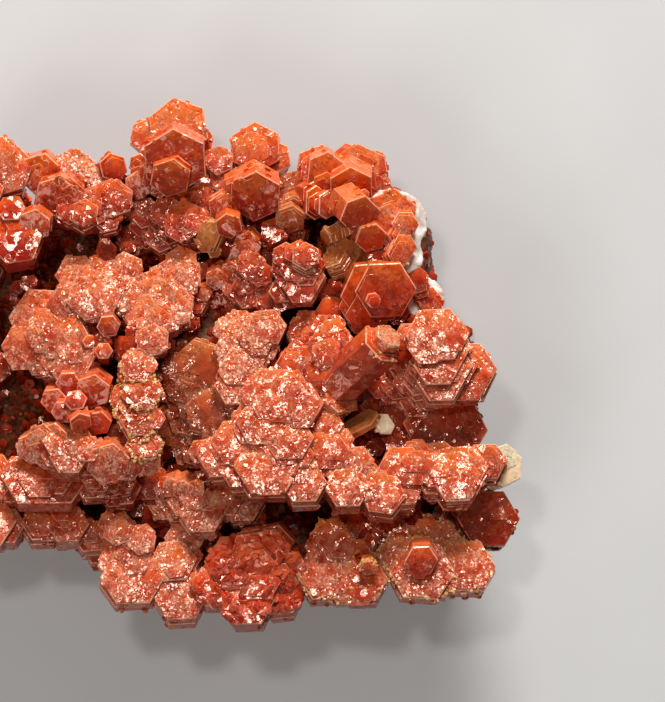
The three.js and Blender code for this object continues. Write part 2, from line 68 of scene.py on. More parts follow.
# Each crystal: x, y and z of its front face's middle, radius, depth, tilt, lean and spin, then its
# habit where it isn't even, and its look where it differs from its fan's. Tilt is the angle between
# its axis and +Z, lean the compass direction that it tips towards (0 is +X, 90 is +Y), and spin
# turns it on its own axis.
FANS = {
    "leaning_prism": [
        (22.1, 3, 24.6, 1.9, 2, 52, 45, 15, "capped"),
        (21.2, 2, 24, 2.9, 11.5, 56, 42, 12),
        (16, -4.6, 20, 2.5, 4, 50, 40, 20, "skew", "broken"),
    ],
    "small_red_crystal": [
        (26.1, -24.9, 22.6, 2.1, 3.5, 14, 270, 62),
    ],
    "pale_flake": [
        (21.5, -7.9, 19.4, 1.5, 0.5, 30, 40, 62, "cut"),
    ],
    "edge_on_plate": [
        (17.9, -7.9, 19, 2.6, 0.9, 66, 125, 20, "long"),
    ],
    "blocky_prism": [
        (18.3, 18.2, 20.4, 2.6, 3.6, 40, 312, 75),
        (19.9, 15.2, 18.6, 2.1, 4.5, 30, 292, 75),
        (19.1, 20.8, 19.8, 0.7, 2, 28, 45, 80),
    ],
    "shoulder_front_plate": [
        (17.4, 21.4, 18, 3, 3.4, 25, 270, 92),
    ],
    "shoulder_plates": [
        (14.5, 22.7, 16.4, 3.3, 2.4, 17, 282, 84, "skew"),
        (13.3, 24.2, 14.2, 3.1, 2.6, 10, 120, 82),
        (13, 19.7, 16.8, 1.8, 2.4, 30, 345, 90, "long"),
        (14.4, 19.4, 17.3, 1.5, 2.4, 30, 345, 90, "long"),
    ],
    "shoulder_rear_plate": [
        (18.4, 23.2, 14.4, 4.2, 2.6, 12, 62, 98),
    ],
    "right_shoulder_plate": [
        (22.5, 18.1, 16.6, 3.5, 3.2, 14, 25, 82),
        (22.3, 14.9, 15.6, 2.4, 3.6, 16, 300, 60),
        (23.8, 13.7, 18.4, 1.9, 2.4, 22, 20, 60, "long", "tan"),
        (24.2, 17.0, 17.6, 1.8, 2.4, 16, 30, 60, "slab"),
    ],
    "tan_ridged_prisms": [
        (15.1, 13, 17, 1.9, 4.4, 52, 128, 70),
        (14.2, 15.4, 16.8, 1.2, 4, 58, 205, 30),
        (16.4, 14.2, 16, 1.5, 3, 20, 60, 75, "cut"),
        (18.8, 13.4, 15.2, 2.6, 3, 14, 80, 66),
    ],
    "right_hexagon": [
        (21.7, 8.7, 19.6, 3.9, 2, 13, 300, 62),
        (20.3, 8.4, 18.4, 4.3, 2.2, 12, 300, 66),
        (19.4, 5.9, 17.8, 3.1, 3, 16, 300, 60),
        (20.1, 7.5, 20.6, 1, 1.8, 10, 30, 70),
    ],
    "right_side_stubs": [
        (25.5, 10, 16.4, 1.9, 3, 20, 30, 80),
        (27.3, 7.4, 15.4, 2, 3, 26, 45, 70, "cut"),
    ],
    "right_stepped_stack": [
        (28, 3.2, 22.6, 3.9, 2.2, 20, 82, 64),
        (28.6, 0.4, 22.9, 3.4, 2.2, 20, 82, 62, "long"),
        (29, -1.6, 22.6, 3.4, 2.6, 20, 82, 62, "long"),
        (31.8, -1.1, 20.2, 3.9, 3.2, 20, 68, 62),
        (26, -2.4, 20.8, 2.3, 3, 22, 100, 70),
        (23.8, -0.4, 18.6, 2.1, 5, 18, 100, 62, "stepped"),
        (22.4, -3.4, 17.6, 2.2, 5, 20, 92, 70, "skew", "stepped"),
        (25.6, -5.2, 18.2, 2.2, 5, 16, 80, 62, "stepped"),
        (24.8, 2.6, 19.4, 2.4, 3, 16, 120, 62),
    ],
    "rimmed_stack": [
        (11.7, 13, 19.2, 1.9, 1.5, 18, 88, 90),
        (9.2, 13.1, 18, 1.8, 2, 16, 110, 90),
        (12, 11.4, 18.4, 2.1, 2.2, 20, 88, 62, "long"),
        (11.6, 9.8, 18.6, 2.5, 2, 22, 88, 62, "long"),
        (9, 9.2, 17.6, 1.9, 2.4, 20, 95, 62, "long"),
    ],
    "brown_hexagon": [
        (10, 21.8, 14.4, 2.3, 3, 13, 100, 75),
        (9.8, 17.6, 16.8, 2, 3.4, 25, 272, 82),
        (10.2, 19.8, 15.2, 1.7, 3, 15, 90, 80),
        (10, 15.9, 14.6, 1.8, 3, 12, 200, 70),
    ],
    "spire_front_plate": [
        (5.4, 20.4, 18.4, 3.5, 3.6, 27, 270, 88),
        (1.3, 19.1, 17, 1.9, 3, 18, 250, 95),
    ],
    "spire_foot_button": [
        (2.1, 16.7, 18.8, 1.8, 3, 26, 268, 100),
        (4.8, 15.6, 16, 1.2, 4, 30, 40, 70),
        (6.8, 15.2, 15.6, 1.1, 4, 18, 100, 70),
    ],
    "spire_back_plates": [
        (5.4, 26.7, 15, 3.4, 2.6, 12, 96, 92),
        (7.5, 25.5, 14.2, 2.5, 2.6, 16, 60, 98),
    ],
    "saddle_plate": [
        (0.8, 25.1, 15.2, 2, 2.6, 16, 88, 84),
        (1.6, 22.5, 15, 1.8, 3, 12, 85, 90),
    ],
    "tan_edged_plate": [
        (-0.6, 15.4, 17.2, 1.9, 2.4, 30, 205, 62, "long"),
        (0.3, 13.6, 16, 1, 3, 26, 300, 62),
    ],
    "cleft_hexagons": [
        (4.9, 11.9, 17, 2, 3, 14, 70, 80),
        (4.3, 14.3, 16.4, 1.9, 3, 20, 250, 70),
        (0.5, 10.1, 16.2, 1.5, 3, 20, 250, 84),
        (4.4, 8.4, 16.4, 2, 3, 14, 90, 70, "skew"),
        (7.2, 7.6, 16.6, 1.8, 3, 16, 80, 60),
        (-2.2, 7.2, 15.4, 1.6, 3, 14, 120, 60),
    ],
    "crown_front_plate": [
        (-4.6, 24.8, 18.8, 4.3, 2.6, 20, 270, 93),
        (-5.2, 22.7, 18.9, 2.7, 2, 26, 272, 80),
        (-9.2, 24.5, 16.2, 1.5, 2.6, 24, 205, 80),
        (-9.4, 21.8, 16.6, 1.8, 2.8, 20, 230, 90),
    ],
    "crown_back_plates": [
        (-4.3, 29.2, 14.8, 4, 2.6, 12, 90, 100),
        (-8.1, 28.2, 14.2, 2.5, 2.6, 12, 110, 82),
        (-1.9, 27.4, 14, 2.2, 2.6, 14, 70, 88),
    ],
    "crown_foot_stack": [
        (-10.2, 15.4, 13.6, 2.1, 3, 14, 120, 84),
        (-8.4, 18.5, 15.2, 2.1, 3, 12, 100, 76),
        (-5.6, 18.6, 16, 2.2, 3, 16, 85, 70),
        (-3.4, 17.6, 16.4, 2.7, 3, 15, 72, 94),
        (-2.8, 14.9, 14.6, 1.9, 3, 18, 60, 70),
        (-6.4, 15.6, 15, 2.2, 3, 14, 90, 84),
        (-1, 20.4, 14.6, 2.1, 3, 14, 70, 80),
    ],
    "crest_button": [
        (-12.4, 24.2, 16, 1.9, 2.6, 16, 20, 104),
    ],
    "frosted_crest_fan": [
        (-17.5, 23.9, 15, 3, 2.6, 16, 85, 82),
        (-14.4, 22.9, 15.8, 1.7, 2.8, 20, 90, 74),
    ],
    "notch_plate": [
        (-21.6, 23.3, 15.6, 2.8, 2.6, 14, 262, 76),
    ],
    "notch_lower_plates": [
        (-19.5, 20.3, 17.2, 2.9, 2.4, 20, 258, 78),
        (-16, 18.4, 18.2, 2, 2.6, 20, 96, 86),
        (-12.3, 20.3, 17, 2.6, 2.8, 16, 72, 82),
        (-13.2, 17.6, 17.2, 1.8, 2.6, 18, 90, 76),
    ],
    "left_crest_plate": [
        (-26.9, 24.3, 16, 4.2, 3, 14, 84, 77),
        (-29.4, 21, 17.2, 3.4, 3, 18, 100, 70),
    ],
    "left_shoulder_crystals": [
        (-22.2, 16.8, 18.4, 2.2, 3.2, 20, 250, 82),
        (-24.5, 15, 18.8, 3.4, 3.2, 22, 90, 72),
        (-25.2, 19, 17.6, 1.9, 3, 28, 90, 62),
        (-28.4, 16.2, 18, 3.2, 3.2, 20, 110, 60),
    ],
    "left_rear_fan": [
        (-33.6, 20.2, 15.8, 4, 3, 16, 130, 66),
        (-36, 15.8, 15, 3.6, 3, 22, 160, 84),
        (-32.4, 15.4, 17.2, 3.2, 3, 18, 120, 60, "skew"),
    ],
    "red_prism_cluster": [
        (-14.7, -3.9, 22.6, 2.3, 3.2, 20, 250, 80),
        (-17.8, -2.9, 21.4, 1.6, 3, 20, 268, 62),
        (-16.8, -4.9, 23.2, 1.5, 2.6, 26, 95, 70),
        (-16.1, -7.8, 23.6, 1.5, 3.2, 34, 292, 40),
        (-14.1, -7.9, 21.8, 1.8, 3, 28, 268, 70),
        (-18.4, -6.5, 22, 1.6, 3, 20, 240, 62),
        (-19.6, -5.1, 20.6, 1.8, 3, 24, 250, 70),
    ],
    "small_centre_hexagon": [
        (-12.8, 4.2, 21.2, 1.5, 2.2, 8, 270, 66),
        (-13.4, 1.2, 21.4, 1.2, 2, 22, 90, 60),
        (-15.2, 2.3, 20.6, 0.9, 3, 30, 60, 60),
    ],
    "left_middle_fan": [
        (-17.1, 10.8, 16, 2.7, 2.6, 15, 110, 64),
        (-13.6, 10.8, 16.4, 2.6, 2.6, 18, 90, 84),
        (-10.9, 11.3, 15.8, 2.5, 2.6, 16, 72, 95),
        (-14.9, 8, 18.6, 3.4, 2.4, 22, 92, 74),
        (-18, 7.4, 18.2, 2.6, 2.4, 18, 115, 60),
        (-11.2, 8, 17.8, 2.6, 2.4, 20, 85, 80),
    ],
    "left_wing_plates": [
        (-21.4, 5.2, 17.6, 4.2, 2.6, 15, 142, 56),
        (-23.7, 1.8, 18.4, 2.8, 2.6, 14, 150, 60),
        (-18.6, 3, 19.4, 3.4, 2.6, 18, 115, 58),
        (-17.2, -0.1, 20.4, 2.9, 2.6, 20, 105, 62, "long"),
        (-21, 0.6, 19, 2.9, 2.6, 15, 140, 60),
    ],
    "right_arm_fan": [
        (-4.1, 10.7, 16, 3, 2.6, 15, 82, 92),
        (-6.6, 9.3, 16.4, 2.7, 2.6, 15, 108, 80),
        (-5.3, 6.9, 18, 3.3, 2.6, 22, 80, 80),
        (-9, 6, 18.4, 2.6, 2.6, 16, 128, 62),
        (-7.3, 2.5, 20.6, 2.2, 2.2, 14, 82, 86),
        (-8.2, 3.2, 19.4, 2.9, 2.4, 20, 90, 80),
    ],
    "crusted_column": [
        (-9.2, -0.7, 21.4, 2.4, 2.4, 22, 75, 60),
        (-8.5, -3.8, 22.2, 2.6, 2.4, 22, 80, 64),
        (-8.9, -7.2, 22.8, 2.6, 2.4, 22, 85, 60),
        (-8.3, -10.4, 23.2, 2.4, 2.4, 22, 90, 66),
        (-10.9, -4.6, 21.4, 2, 2.6, 18, 110, 60),
    ],
    "left_foot_lobes": [
        (-17.1, -11.2, 23, 2.8, 3, 24, 92, 60, "long"),
        (-19.7, -9.8, 22.2, 2.1, 3, 18, 200, 80),
        (-22.3, -11, 21.4, 2.1, 3, 16, 240, 84),
        (-12.7, -12.9, 23.4, 2.8, 3.2, 16, 262, 76),
        (-7.8, -13, 22.4, 1.6, 3, 20, 272, 86),
        (-10.4, -13.6, 22.6, 1.7, 3, 20, 270, 60),
        (-14.8, -15, 20.2, 2.6, 3, 18, 92, 62),
        (-11.2, -16, 19, 2.4, 3, 16, 100, 64, "glinting"),
    ],
    "centre_fan": [
        (7.4, -3.6, 21.6, 3.2, 2.4, 22, 95, 56),
        (10.8, -5.4, 22.4, 3.2, 2.4, 22, 92, 62),
        (6.4, -7.6, 23, 3.4, 2.4, 22, 92, 56),
        (2.9, -9.8, 22.6, 2.8, 2.4, 22, 95, 60),
        (9.6, -9.6, 23.8, 3.2, 2.4, 22, 90, 62),
        (1.4, -11.9, 23.2, 3.1, 2.8, 22, 95, 62),
        (6.5, -13.9, 25, 3.5, 3, 23, 90, 62, "broad"),
        (11.5, -15.1, 24.8, 2.9, 3, 22, 90, 62),
        (-1.3, -11.3, 21.8, 1.7, 2.6, 18, 110, 66),
    ],
    "centre_upper_plates": [
        (12.6, 3.6, 18, 3.2, 2.4, 20, 95, 62),
        (15, 6, 17.2, 2.2, 2.4, 20, 95, 62),
        (15.2, 2.6, 19.2, 2.4, 2.4, 18, 95, 66),
        (10.5, -0.8, 20, 2.8, 2.4, 20, 95, 60),
        (14.1, 0.6, 20.2, 2, 2.4, 16, 95, 80),
        (13, -2.2, 20.6, 2.4, 2.4, 18, 95, 62),
    ],
    "middle_rimmed_fan": [
        (6.8, 4.1, 18.6, 2.6, 2.4, 16, 90, 66),
        (1.7, 3.9, 17.2, 1.7, 2.4, 18, 105, 84),
        (3.2, 1.4, 18.8, 3, 2.2, 22, 66, 62),
        (3.8, -0.8, 19.8, 2.8, 2.2, 22, 66, 62),
        (3.1, -3.2, 20.4, 2.8, 2.2, 22, 66, 60),
        (3.4, 4.7, 17, 1.9, 2.4, 16, 95, 62),
        (6.6, 1.6, 18.4, 1.9, 2.6, 18, 85, 66),
    ],
    "brown_curved_plate": [
        (-1.6, -1.4, 18, 4.2, 2.6, 15, 140, 42),
        (-2.8, -5, 18, 3.4, 2.8, 16, 150, 50),
        (-0.2, -6.4, 19.4, 3.4, 2.6, 18, 130, 46),
        (-4, 1.7, 15.2, 1.1, 3, 12, 150, 46),
        (-4.6, -8.4, 17.4, 2.8, 2.8, 16, 140, 50),
        (-2.4, -11, 17.8, 2.8, 2.8, 18, 120, 46, "glinting"),
        (1.2, -9.4, 19.4, 2.6, 2.6, 18, 120, 50),
        (-5, -2, 17.2, 2.2, 2.8, 16, 150, 46),
    ],
    "centre_right_lobes": [
        (16.9, -15.7, 24.2, 2.9, 3, 22, 90, 62),
        (21.3, -16.5, 24, 2.9, 3.4, 20, 88, 52),
        (24, -16.1, 23, 2.2, 3.4, 20, 82, 66),
        (14.6, -11.3, 22.8, 2.6, 2.6, 18, 92, 62),
        (18, -12.6, 22.8, 2.3, 2.6, 20, 90, 66),
        (14.2, -8.2, 21.6, 2.2, 2.6, 18, 95, 62),
    ],
    "right_lower_stack": [
        (23.7, -13.2, 22.4, 2.9, 2.6, 18, 92, 62),
        (31, -14.2, 23, 3.3, 3, 24, 94, 62, "long"),
        (27.8, -14.6, 22.4, 2.4, 3, 22, 92, 62),
        (34.2, -12.6, 21.2, 2.6, 2.6, 18, 70, 62),
        (28.4, -12, 20.8, 2.2, 3, 16, 100, 76),
        (25.6, -10.9, 20.4, 1.3, 4, 20, 120, 60),
        (24.2, -12.2, 20, 1.2, 4, 16, 110, 60),
    ],
    "shadowed_plate": [
        (29.2, -8.3, 18.2, 5.4, 3.4, 16, 58, 56),
        (24.2, -8.8, 17.4, 3.2, 3.4, 14, 70, 62),
        (21.6, -5, 16.6, 2.6, 3, 16, 70, 62),
        (19.4, -7.4, 16.4, 2.4, 3, 16, 80, 62),
    ],
    "pale_yellow_crystal": [
        (36.6, -13.2, 18.6, 2.7, 3.6, 26, 20, 84),
    ],
    "stepped_long_plate": [
        (-20.6, -14.7, 20.4, 2.9, 1.6, 30, 92, 0, "long"),
        (-20.7, -14.9, 20, 4.3, 2, 30, 92, 0, "long"),
        (-27.8, -14.6, 18.6, 3.4, 3, 22, 102, 60),
    ],
    "left_edge_plates": [
        (-28.2, -20, 19, 3.9, 3.2, 24, 92, 60),
        (-32.8, -17.6, 17.6, 3.8, 3.2, 22, 130, 60),
        (-26, -20.6, 18.2, 2.7, 3, 22, 92, 62),
    ],
    "left_flank_fan": [
        (-33.4, 8.6, 17.6, 4.2, 3.2, 18, 140, 60),
        (-29.6, 11.2, 16.4, 3, 3.2, 16, 100, 70),
        (-35.8, 3.2, 16.6, 3.8, 3.2, 22, 170, 70),
        (-31.6, 2.8, 18, 3.2, 3.2, 15, 150, 60),
    ],
    "left_low_fan": [
        (-34.4, -4.2, 17, 4, 3.2, 20, 185, 60),
        (-30.6, -6.4, 18.2, 3.2, 3.2, 16, 170, 70),
        (-34.6, -10.6, 16.2, 3.6, 3.2, 22, 200, 66),
        (-30.4, -1.8, 17.4, 2.6, 3.2, 14, 150, 60),
    ],
    "ragged_foot_fan": [
        (-21.2, -20.2, 18.4, 2.7, 3, 22, 92, 62),
        (-18, -20.4, 18.6, 2.7, 3, 22, 90, 60),
        (-15.2, -22, 17.2, 2.3, 3, 22, 88, 66),
        (-14.5, -24.3, 15, 1.5, 3, 22, 90, 60),
    ],
    "frosted_shelf": [
        (-0.6, -18, 20, 3.4, 2.6, 24, 94, 62, "long"),
        (3.8, -17.8, 18.8, 2.7, 2.8, 20, 92, 62),
        (-3.5, -16.4, 20, 1.6, 2.6, 30, 250, 88),
        (-6, -17.9, 17.6, 2.2, 3, 14, 110, 60, "skew"),
        (-1.5, -15.6, 19.2, 1.8, 3, 20, 94, 66),
        (-7.4, -15.4, 17.6, 2.3, 3, 16, 100, 62, "glinting"),
    ],
    "foot_fan_left": [
        (-11.7, -21.3, 19.6, 2, 2.2, 20, 92, 82),
        (-9.8, -26.9, 20.8, 4.1, 3, 22, 90, 62),
        (-8.7, -22.5, 20, 1.9, 2.4, 20, 90, 80),
        (-12.2, -20.4, 17.4, 2.2, 3, 22, 110, 62),
    ],
    "foot_fan_middle": [
        (-3.8, -29.4, 21, 3.4, 3, 22, 90, 62),
        (-4.8, -25, 19.8, 3, 2.6, 22, 90, 66),
        (-3.4, -22.2, 18.4, 2.6, 2.6, 20, 90, 60),
    ],
    "red_foot_cluster": [
        (4.4, -29.9, 22, 3.5, 3, 22, 90, 62),
        (0.5, -28, 21.2, 3, 2.8, 22, 90, 66),
        (8.7, -29.4, 20.4, 2.6, 3, 22, 88, 66),
        (2.6, -24.4, 20.2, 3, 2.6, 20, 90, 60),
        (7.1, -23.7, 21.2, 2.9, 3, 14, 250, 72),
        (9.7, -26, 20.8, 2.4, 3, 16, 280, 60),
    ],
    "foot_fan_crusted": [
        (14.4, -26.5, 20.8, 3.9, 3, 20, 90, 62),
        (18.7, -27.2, 21, 3.3, 3, 20, 88, 60),
        (15.2, -22.9, 19, 3, 2.8, 18, 92, 62),
        (17.6, -20.4, 17.8, 2.6, 2.8, 18, 92, 66, "glinting"),
        (19.6, -25.8, 22.4, 1.1, 2, 20, 270, 70),
    ],
    "foot_fan_right": [
        (26.2, -26.2, 20.8, 4.2, 2.8, 20, 90, 56),
        (31.6, -25.6, 20.2, 3.8, 2.8, 20, 85, 60),
        (23.4, -24.4, 20, 2.8, 2.8, 18, 110, 60),
        (28.4, -22.4, 18.4, 2.8, 2.8, 16, 90, 66),
        (25, -21.4, 18.2, 2.8, 2.8, 18, 92, 60),
        (21.8, -20.8, 18.4, 2.4, 2.8, 18, 96, 66, "glinting"),
    ],
    "dark_rounded_plates": [
        (34.6, -19.8, 17.6, 4, 3.4, 14, 60, 60),
        (30.6, -19, 16, 2.8, 3.4, 12, 80, 70),
    ],
}

# Pieces of several fans that have grown into each other, and one that isn't named as its fan is.
# Any other fan is a piece of the same name.
JOINED_FANS = {
    "shoulder_fan": ["shoulder_front_plate", "shoulder_plates", "shoulder_rear_plate"],
    "right_side_stub": ["right_side_stubs"],
    "spire_fan": ["spire_front_plate", "spire_foot_button", "spire_back_plates", "saddle_plate"],
    "crest_fan": ["crest_button", "frosted_crest_fan", "notch_plate", "notch_lower_plates"],
    "left_crest_fan": ["left_crest_plate", "left_shoulder_crystals"],
    "left_middle_fan": ["small_centre_hexagon", "left_middle_fan", "left_wing_plates"],
    "right_arm_fan": ["right_arm_fan", "crusted_column"],
    "centre_fan": ["centre_fan", "centre_upper_plates"],
    "centre_right_lobes": ["centre_right_lobes", "right_lower_stack"],
    "foot_fan_left": ["foot_fan_left", "foot_fan_middle"],
}
PIECE_OF_FAN = {fan: piece for piece, fans in JOINED_FANS.items() for fan in fans}


def fans_by_piece():
    """Each crystal piece of the model with its fans, in the table's order."""
    pieces = {}
    for fan in FANS:
        pieces.setdefault(PIECE_OF_FAN.get(fan, fan), []).append(fan)
    return pieces


@dataclass(frozen=True)
class Look:
    """How a crystal's surface grew. Shares and colours are 0 to 1, lengths millimetres."""

    layer: float = 1.5        # thickness of one layer of the crystal's pile
    steps: int = 3            # terraces on the front face
    rim: float = 0.45         # plates for each millimetre of rim
    side: float = 0.4         # plates for each square millimetre of side
    cover: float = 0.65       # share of the front face under small plates
    small: tuple = (0.14, 0.34)     # least and greatest radius of the small plates
    wobble: float = 8.0       # how far small plates lean off the crystal's axis, degrees
    tone: float = 0.5         # from deep red through orange-red to orange
    frost: float = 0.45       # how pale and matt the small growth makes it
    crust: float = 0.0        # share of yellow crust along the rim
    crust_depth: float = 0.8  # how far the crust reaches down the sides
    bridged: bool = True      # whether smaller crystals close the notches between neighbours


FROSTED = Look()
CLEAN = replace(FROSTED, layer=1.8, steps=1, rim=0.12, side=0.3, cover=0.35, tone=0.47, frost=0.15, wobble=4)
STEPPED = replace(FROSTED, layer=0.5, steps=5, rim=1.0, side=1.6, cover=0.5, small=(0.25, 0.6), frost=0.4)
PINK = replace(FROSTED, tone=0.45, frost=0.7, wobble=9)
BARE = replace(FROSTED, layer=9.0, steps=1, rim=0.0, side=0.0)
LOOKS = {
    "frosted": FROSTED,
    "clean": CLEAN,
    "stepped": STEPPED,
    "pink": PINK,
    "heavy_frost": replace(FROSTED, cover=1.0, frost=0.95, wobble=10),
    "glinting": replace(
        STEPPED, layer=0.9, steps=3, rim=0.7, side=1.0, cover=0.9, small=(0.18, 0.45),
        wobble=15, tone=0.35, frost=0.22,
    ),
    "red": replace(CLEAN, cover=0.2, frost=0.05, tone=0.4, wobble=8, bridged=False),
    "rosette": replace(FROSTED, cover=1.5, small=(0.35, 0.85), wobble=26, tone=0.4, frost=0.25),
    "crusted": replace(FROSTED, cover=0.7, frost=0.4, crust=1.3),
    "rimmed": replace(PINK, wobble=8, crust=0.7, crust_depth=0.3),
    "amber": replace(FROSTED, cover=0.5, tone=0.75, frost=0.3),
    "prism": replace(
        FROSTED, layer=6.0, steps=1, rim=0.15, side=0.12, cover=0.25,
        tone=0.65, frost=0.3, crust=0.3, bridged=False,
    ),
    "capped": replace(
        FROSTED, layer=1.0, steps=2, rim=0.2, side=0.3, cover=0.9, small=(0.1, 0.24), tone=1.0, frost=1.0,
    ),
    "broken": replace(FROSTED, cover=1.0, wobble=20, tone=0.9, frost=0.8, crust=2.5, crust_depth=4.0),
    "slab": replace(
        FROSTED, layer=1.4, steps=2, rim=0.2, side=0.3, cover=0.4, small=(0.1, 0.26), wobble=5, frost=0.6,
    ),
    "hollow": replace(BARE, cover=0.5, small=(0.2, 0.45), wobble=14, tone=0.3, frost=0.1),
    "edged": replace(FROSTED, layer=0.7, steps=2, rim=0.4, cover=0.3, tone=0.6, frost=0.3, crust=0.3),
    "tan": replace(FROSTED, layer=0.35, steps=2, cover=0.3, tone=0.6, frost=0.4, crust=0.1),
    "brown": replace(FROSTED, layer=0.9, cover=0.5, tone=0.3, frost=0.35),
    # dark: a deep tone; on the shadowed plate it is painted shade, cast by the stack beside it
    "dark": replace(FROSTED, layer=1.2, steps=2, rim=0.5, cover=0.4, tone=0.2, frost=0.25),
    "pale": replace(FROSTED, layer=0.6, steps=1, rim=0.2, side=0.3, cover=0.1, tone=1.0, frost=0.4),
}

# The fans of each look. All other fans are frosted.
FANS_OF_LOOK = {
    "amber": ["spire_back_plates", "crown_back_plates"],
    "brown": ["right_side_stubs", "brown_hexagon", "brown_curved_plate"],
    "clean": [
        "blocky_prism", "shoulder_front_plate", "shoulder_plates", "right_hexagon", "spire_front_plate",
        "spire_foot_button", "crown_front_plate", "crest_button", "notch_plate", "small_centre_hexagon",
    ],
    "crusted": ["crusted_column", "foot_fan_crusted"],
    # on the shadowed plate the dark look is painted shade from the stack beside it
    "dark": ["shadowed_plate", "dark_rounded_plates"],
    "edged": ["tan_edged_plate"],
    "glinting": [
        "rimmed_stack", "cleft_hexagons", "crown_foot_stack", "notch_lower_plates", "centre_upper_plates",
    ],
    "heavy_frost": ["frosted_crest_fan", "middle_rimmed_fan", "frosted_shelf"],
    "pale": ["pale_flake", "pale_yellow_crystal"],
    "pink": [
        "left_middle_fan", "left_wing_plates", "right_arm_fan", "left_foot_lobes", "foot_fan_left",
        "foot_fan_middle",
    ],
    "prism": ["leaning_prism"],
    "red": ["small_red_crystal", "left_shoulder_crystals", "red_prism_cluster"],
    "rimmed": ["foot_fan_right"],
    "rosette": ["red_foot_cluster"],
    "slab": ["right_stepped_stack"],
    "stepped": ["shoulder_rear_plate", "right_lower_stack"],
    "tan": ["edge_on_plate", "tan_ridged_prisms"],
}
LOOK_OF_FAN = {fan: look for look, fans in FANS_OF_LOOK.items() for fan in fans}

# ---- growth --------------------------------------------------------------------------------------
COS30 = np.cos(np.radians(30))
SIDE_TURNS = np.radians(30 + 60 * np.arange(6))
SIDE_NORMALS = np.stack([np.cos(SIDE_TURNS), np.sin(SIDE_TURNS)], axis=1)

# The pile of layers that makes up a crystal. Turns are how far plates lean and are turned, degrees.
BODY_BEVEL = 0.13
BODY_FROST = 0.8                # as a share of the frost on the growth
PILE_UNEVENNESS = 0.028         # of its layers, in radii
PILE_TURNS = (0.8, 1.5)
LAYER_OVERLAP = 1.15            # a layer's thickness, as a share of their spacing
LAYER_BEVEL = 0.3               # greatest bevel, as a share of their spacing

# Terraces on its front face.
TERRACE_SIZE = (0.35, 0.8)      # as a share of the crystal's
TERRACE_SHIFT = 0.22            # scatter of their middles, in radii
TERRACE_RISE = (0.024, 0.066)   # from one terrace to the next
TERRACE_FOOT = 0.2              # how deep they reach into the crystal
TERRACE_UNEVENNESS = 0.06
TERRACE_TURNS = (1.0, 2.0)
TERRACE_BEVEL = 0.036

# Plates along its rim.
RIM_SIZE = (0.12, 0.32)         # in radii
RIM_PLACE = (0.5, 0.84)         # how far out they lie, as a share of the way to the rim
RIM_RISE = (-0.5, 0.1)          # above the front face
RIM_DEPTH = (0.6, 1.6)
RIM_UNEVENNESS = 0.1
RIM_WOBBLE = 0.2                # as a share of its small plates' wobble
RIM_TWIST = 1.5
RIM_BEVEL = 0.06

# Plates on its sides.
SIDE_SHARE = 0.5                # of the sides' area that plates grow on
SIDE_SIZE = (0.25, 0.6)
SIDE_INSET = 0.35               # in their own radii
SIDE_TOP = -0.2                 # level of the highest, from the front face
SIDE_DEPTH = (0.15, 0.5)
SIDE_WOBBLE = 0.6               # as RIM_WOBBLE
SIDE_TWIST = 4

# Small plates on its front face.
SMALL_RISE = (0.02, 0.09)       # above it
SMALL_INSET = 0.18              # from the rim
SMALL_DEPTH = 0.45
SMALL_TWIST = 6
SMALL_UNEVENNESS = 0.12

# Grains of crust along its rim.
CRUST_GRAINS = 20               # for each millimetre of radius, where the crust is full
CRUST_GAIN = 0.25               # how many more for each millimetre that it reaches down
CRUST_SIZE = (0.07, 0.22)
CRUST_PLACE = (0.86, 1.03)      # as RIM_PLACE
CRUST_RISE = 0.12               # of the highest grains, above the front face
CRUST_DEPTH = 0.3
CRUST_UNEVENNESS = 0.15
CRUST_TURNS = (50, 40)

# Scatter of colour and frost from plate to plate.
TONE_SCATTER = 0.09
FROST_SCATTER = 0.12

# Smaller crystals between a fan's crystals, and upright ones in the hollows between fans.
BRIDGE_REACH = 1.4              # how near, in radii, two crystals lie for one to bridge them
BRIDGED_LEAST = 1.3             # crystals smaller than this stand by themselves
BRIDGE_PLACES = ((0.25, 0.45), (0.55, 0.75))    # how far from the first crystal to the second
BRIDGE_SHIFT = (0.07, 0.07, 0.021)              # their scatter, as shares of the two radii together
BRIDGE_DROP = (0.05, 0.45)
BRIDGE_DEPTH = 0.8              # as a share of its neighbour's depth
BRIDGE_BEVEL = 0.05
BRIDGE_RADIUS = (0.6, 0.95)     # as a share of the radius of the crystals that it bridges
UNEVEN_SIDES = 0.08             # scatter of the distances of a hexagon's sides
HOLLOW_GAP = (0.6, 1.6)         # how far apart, in radii, crystals with a hollow between them lie
HOLLOW_SCATTER = 0.7            # of its crystal's place
HOLLOW_SPACING = 1.5            # least distance between the hollows' crystals
HOLLOW_RADIUS = (0.8, 2.0)
HOLLOW_DROP = (0.6, 2.6)        # how far below the fans' crystals it stays
HOLLOW_TILT = (4, 26)
HOLLOW_LEAN = (30, 150)
HOLLOW_FOOT = 8.0               # level inside the rock where the crystals of the hollows start
ROOTED_DEPTH = 0.5              # how deep in the rock a hollow's crystal stands, in radii
BURIED_MARGIN = 0.12            # depth under another crystal's surface where growth is left out


@dataclass
class Plates:
    """Hexagonal plates: one row each."""

    centre: np.ndarray      # (n, 3) middle of the front face
    basis: np.ndarray       # (n, 3, 3) columns: two directions in the face, and the axis
    reach: np.ndarray       # (n, 6) distances of the side faces from the axis
    depth: np.ndarray       # (n,)
    bevel: np.ndarray       # (n,)
    tone: np.ndarray        # (n,)
    frost: np.ndarray       # (n,)
    crust: np.ndarray       # (n,)
    host: np.ndarray        # (n, 2) y of the host crystal's middle, and the host's radius

    def pick(self, mask):
        return Plates(*(getattr(self, field)[mask] for field in self.__dataclass_fields__))

    @staticmethod
    def join(groups):
        fields = Plates.__dataclass_fields__
        return Plates(*(np.concatenate([getattr(group, field) for group in groups]) for field in fields))


